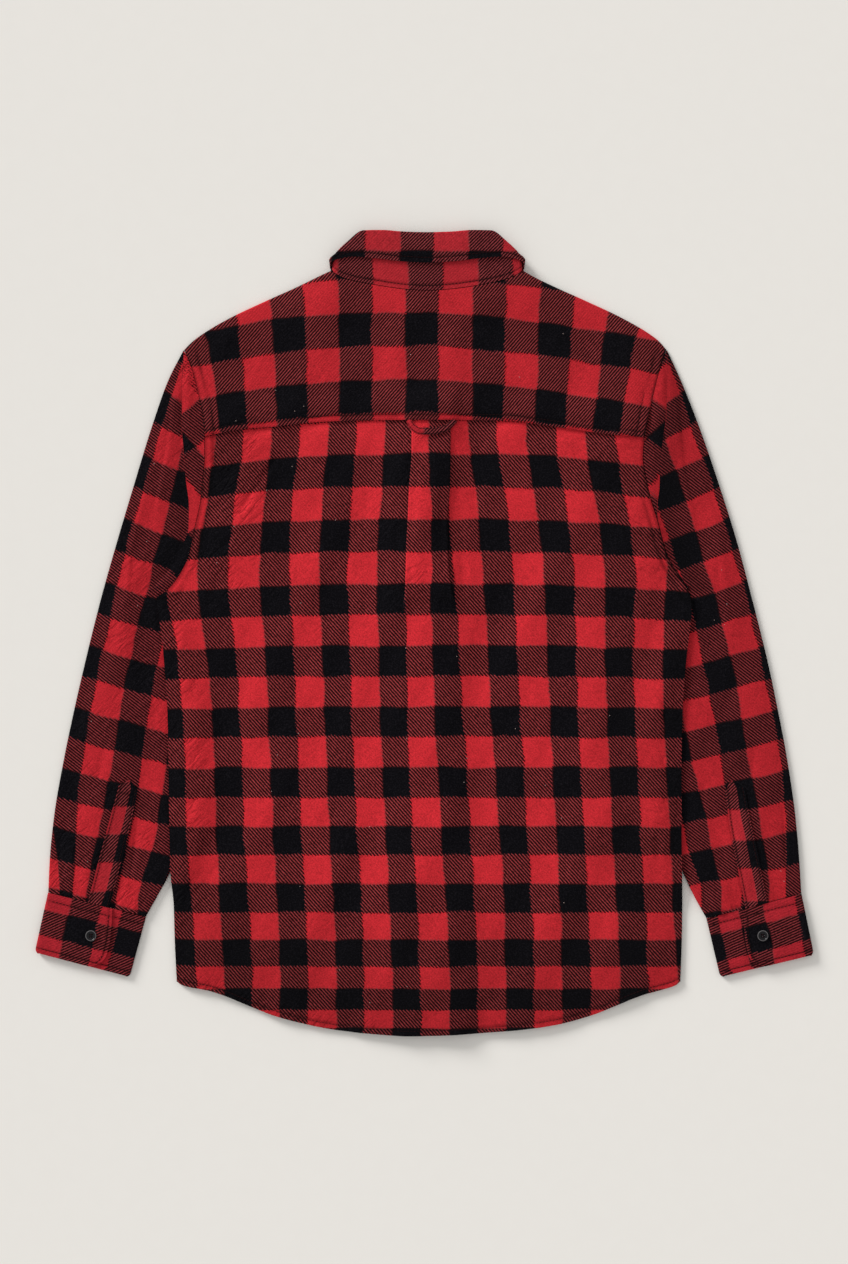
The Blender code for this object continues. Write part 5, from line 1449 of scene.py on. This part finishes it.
def flannel(name, group, lean, red, light, mottle, pitch, turned=False):
    """A cloth material: the check group, with a soft bump and a faint sheen of brushed fibres.

    lean is the angle of the twill in degrees, red and light are the colours of the red bands and of the
    twill's light lines, mottle is how uneven those lines are, and pitch how many millimetres they are
    apart. turned is for cloth that carries a second check, on the part that is turned in.
    """
    def paint(tree):
        where = counts_of(tree, "check")
        if turned:
            inside = ramp(tree, attribute(tree, "turned"), -0.2, 0.2)
            where = shader_node(tree, "Mix", {0: inside, 4: where, 5: counts_of(tree, "turned_check")},
                                data_type="VECTOR").outputs[1]
        angle, turns = math.radians(lean), 2 * math.pi / pitch
        # The groove point value feeds the painted shade of the check group.
        check = shader_node(tree, "Group", {
            "Check": where, "Painted Shade": attribute(tree, "groove"), "Mottle": mottle, "Red": srgb(*red),
            "Light Twill": srgb(*light), "Twill Across": math.cos(angle) * turns,
            "Twill Along": math.sin(angle) * turns}, node_tree=group).outputs
        creased = shader_node(tree, "Bump", {
            "Strength": 0.8, "Distance": 0.0011, "Height": wrinkle_height(tree)}).outputs["Normal"]
        woven = shader_node(tree, "Bump", {
            "Strength": 0.5, "Distance": 0.00035, "Height": check["Height"], "Normal": creased})
        return {"Base Color": check["Color"], "Normal": woven.outputs["Normal"], "Roughness": 0.92,
                "Specular IOR Level": 0.06, "Sheen Weight": 0.02, "Sheen Roughness": 0.5}

    return new_material(name, paint)


def wrinkle_height(tree):
    """Fine creases that run slantwise down to the side seams: the ridge lines of a stretched noise."""
    where = object_place(tree)
    across, upward, _ = parts(tree, where)
    outward = value(tree, "ABSOLUTE", across)
    less, times = partial(value, tree, "SUBTRACT"), partial(value, tree, "MULTIPLY")
    stretched = shader_node(tree, "CombineXYZ", {
        0: times(less(upward, outward), 22), 1: times(value(tree, "ADD", upward, outward), 78)}).outputs[0]
    ridge = value(tree, "ABSOLUTE", times(less(noise(tree, stretched, 1.0, 3), 0.5), 2))
    mask = ramp(tree, noise(tree, where, 24, 1), 0.38, 0.62)
    return times(times(ramp(tree, ridge, 0.0, 0.22), mask), attribute(tree, "wrinkles"))


def grained(name, scale, detail, first, second, roughness, specular=0.5):
    """A material that varies finely between two colours."""
    return new_material(name, lambda tree: {
        "Base Color": mixed(tree, noise(tree, object_place(tree), scale, detail), srgb(*first), srgb(*second)),
        "Roughness": roughness, "Specular IOR Level": specular})


def button_material():
    """Black polished resin with faint cloudy streaks, and a painted highlight: a lighter grey ring along the
    rim.
    """
    def paint(tree):
        streak = noise(tree, object_place(tree), 500, 3)
        resin = mixed(tree, streak, srgb(6, 6, 8), srgb(24, 23, 27))
        return {"Base Color": mixed(tree, attribute(tree, "worn"), resin, srgb(100, 97, 98)),
                "Roughness": ramp(tree, streak, -0.5, 3.2), "Specular IOR Level": 0.22}

    return new_material("black_resin", paint)


def make_floor():
    """The pale surface that the shirt lies on."""
    half, level = 14.0, -0.0003
    mesh = bpy.data.meshes.new("floor")
    mesh.from_pydata([(-half, -half, level), (half, -half, level), (half, half, level), (-half, half, level)],
                     [], [(0, 1, 2, 3)])
    mesh.materials.append(grained("pale_surface", 60, 2, (229, 226, 221), (231, 228, 223), 0.9))
    link("floor", mesh)


def make_light():
    """A wide key light from the upper left, and an even pale world."""
    sun = bpy.data.lights.new("key", "SUN")
    sun.energy = 3.3
    sun.angle = math.radians(20)
    sun.color = (1.0, 0.99, 0.975)
    link("key", sun).rotation_euler = Vector((0.66, -0.68, -0.33)).to_track_quat("-Z", "Y").to_euler()
    world = bpy.data.worlds.new("studio")
    world.use_nodes = True
    fill(world.node_tree, world.node_tree.nodes["Background"],
         {"Color": (1.0, 0.995, 0.985, 1), "Strength": 0.65})
    bpy.context.scene.world = world
    bpy.context.scene.view_settings.view_transform = "Standard"


def make_camera():
    """The photograph's camera: straight above the shirt, with the whole 848 by 1264 frame in view."""
    camera = bpy.data.cameras.new("camera")
    camera.lens, camera.sensor_width = 85, 36
    height = PHOTO_HEIGHT * MM * camera.lens / camera.sensor_width
    holder = link("camera", camera)
    holder.location = ((PHOTO_WIDTH / 2 - MIDDLE_ACROSS) * MM, (MIDDLE_DOWN - PHOTO_HEIGHT / 2) * MM, height)
    bpy.context.scene.camera = holder


def dress(piece, node=None):
    """Hang a piece on the frame's root body, and hide the solid of the node that it stands for, if any."""
    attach(piece, "root")
    if node:
        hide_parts(node)


def main():
    """Dress every node of the frame."""
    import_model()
    make_camera()
    make_floor()
    make_light()
    group = check_group()
    body = flannel("flannel_body", group, 42, (194, 40, 48), (146, 54, 57), 0.52, 2.6)
    yoke_cloth = flannel("flannel_yoke", group, -41, (179, 36, 44), (141, 54, 57), 0.3, 2.5)
    sleeves = flannel("flannel_sleeves", group, 52, (177, 35, 43), (131, 47, 51), 0.38, 2.5, turned=True)
    trims = flannel("flannel_trims", group, -45, (164, 36, 44), (138, 56, 60), 0.35, 2.4)
    cuffs = flannel("flannel_cuffs", group, -66, (159, 33, 42), (128, 47, 51), 0.45, 2.5)
    # Painted shade: the threads' dark colour stands in for the shade along the stitch lines, and on the seam
    # allowances for the shadow in the seams.
    thread = grained("dark_thread_painted_shade", 900, 2, (17, 6, 8), (44, 11, 15), 0.8, 0.08)
    lint = grained("pale_lint", 2500, 1, (150, 120, 115), (205, 190, 182), 0.95)
    resin = button_material()
    pieces = {
        "back_panel": make_back(body),
        "yoke": make_yoke(yoke_cloth),
        "front_left": make_front("left", body),
        "front_right": make_front("right", body),
        "placket_left": make_band("buttonhole_band", "left", trims),
        "placket_right": make_band("button_band", "right", trims),
        "collar_stand": make_stand(trims),
        "collar_fall": make_fall(trims),
        "locker_loop": make_loop(trims)}
    for title, make, material in (("sleeve", make_sleeve, sleeves),
                                  ("sleeve_placket", make_sleeve_placket, trims), ("cuff", make_cuff, cuffs)):
        for side in SIDES:
            pieces[f"{title}_{side}"] = make(side, material)
    for node, piece in pieces.items():
        dress(piece, node)
    buttons = [f"cuff_button_{side}" for side in SIDES] + [f"front_button_{number}" for number in range(1, 9)]
    for node in buttons:
        dress(make_button(node, resin), node)
    # The seam allowances are dark sheets of painted shadow in the seams.
    for side in SIDES:
        strip = make_armhole_allowance(side, thread)
        dress(strip)
    strip = make_neck_allowance(thread)
    dress(strip)
    for piece in [*make_threads(thread), make_button_threads(thread), make_lint(lint)]:
        dress(piece)


main()
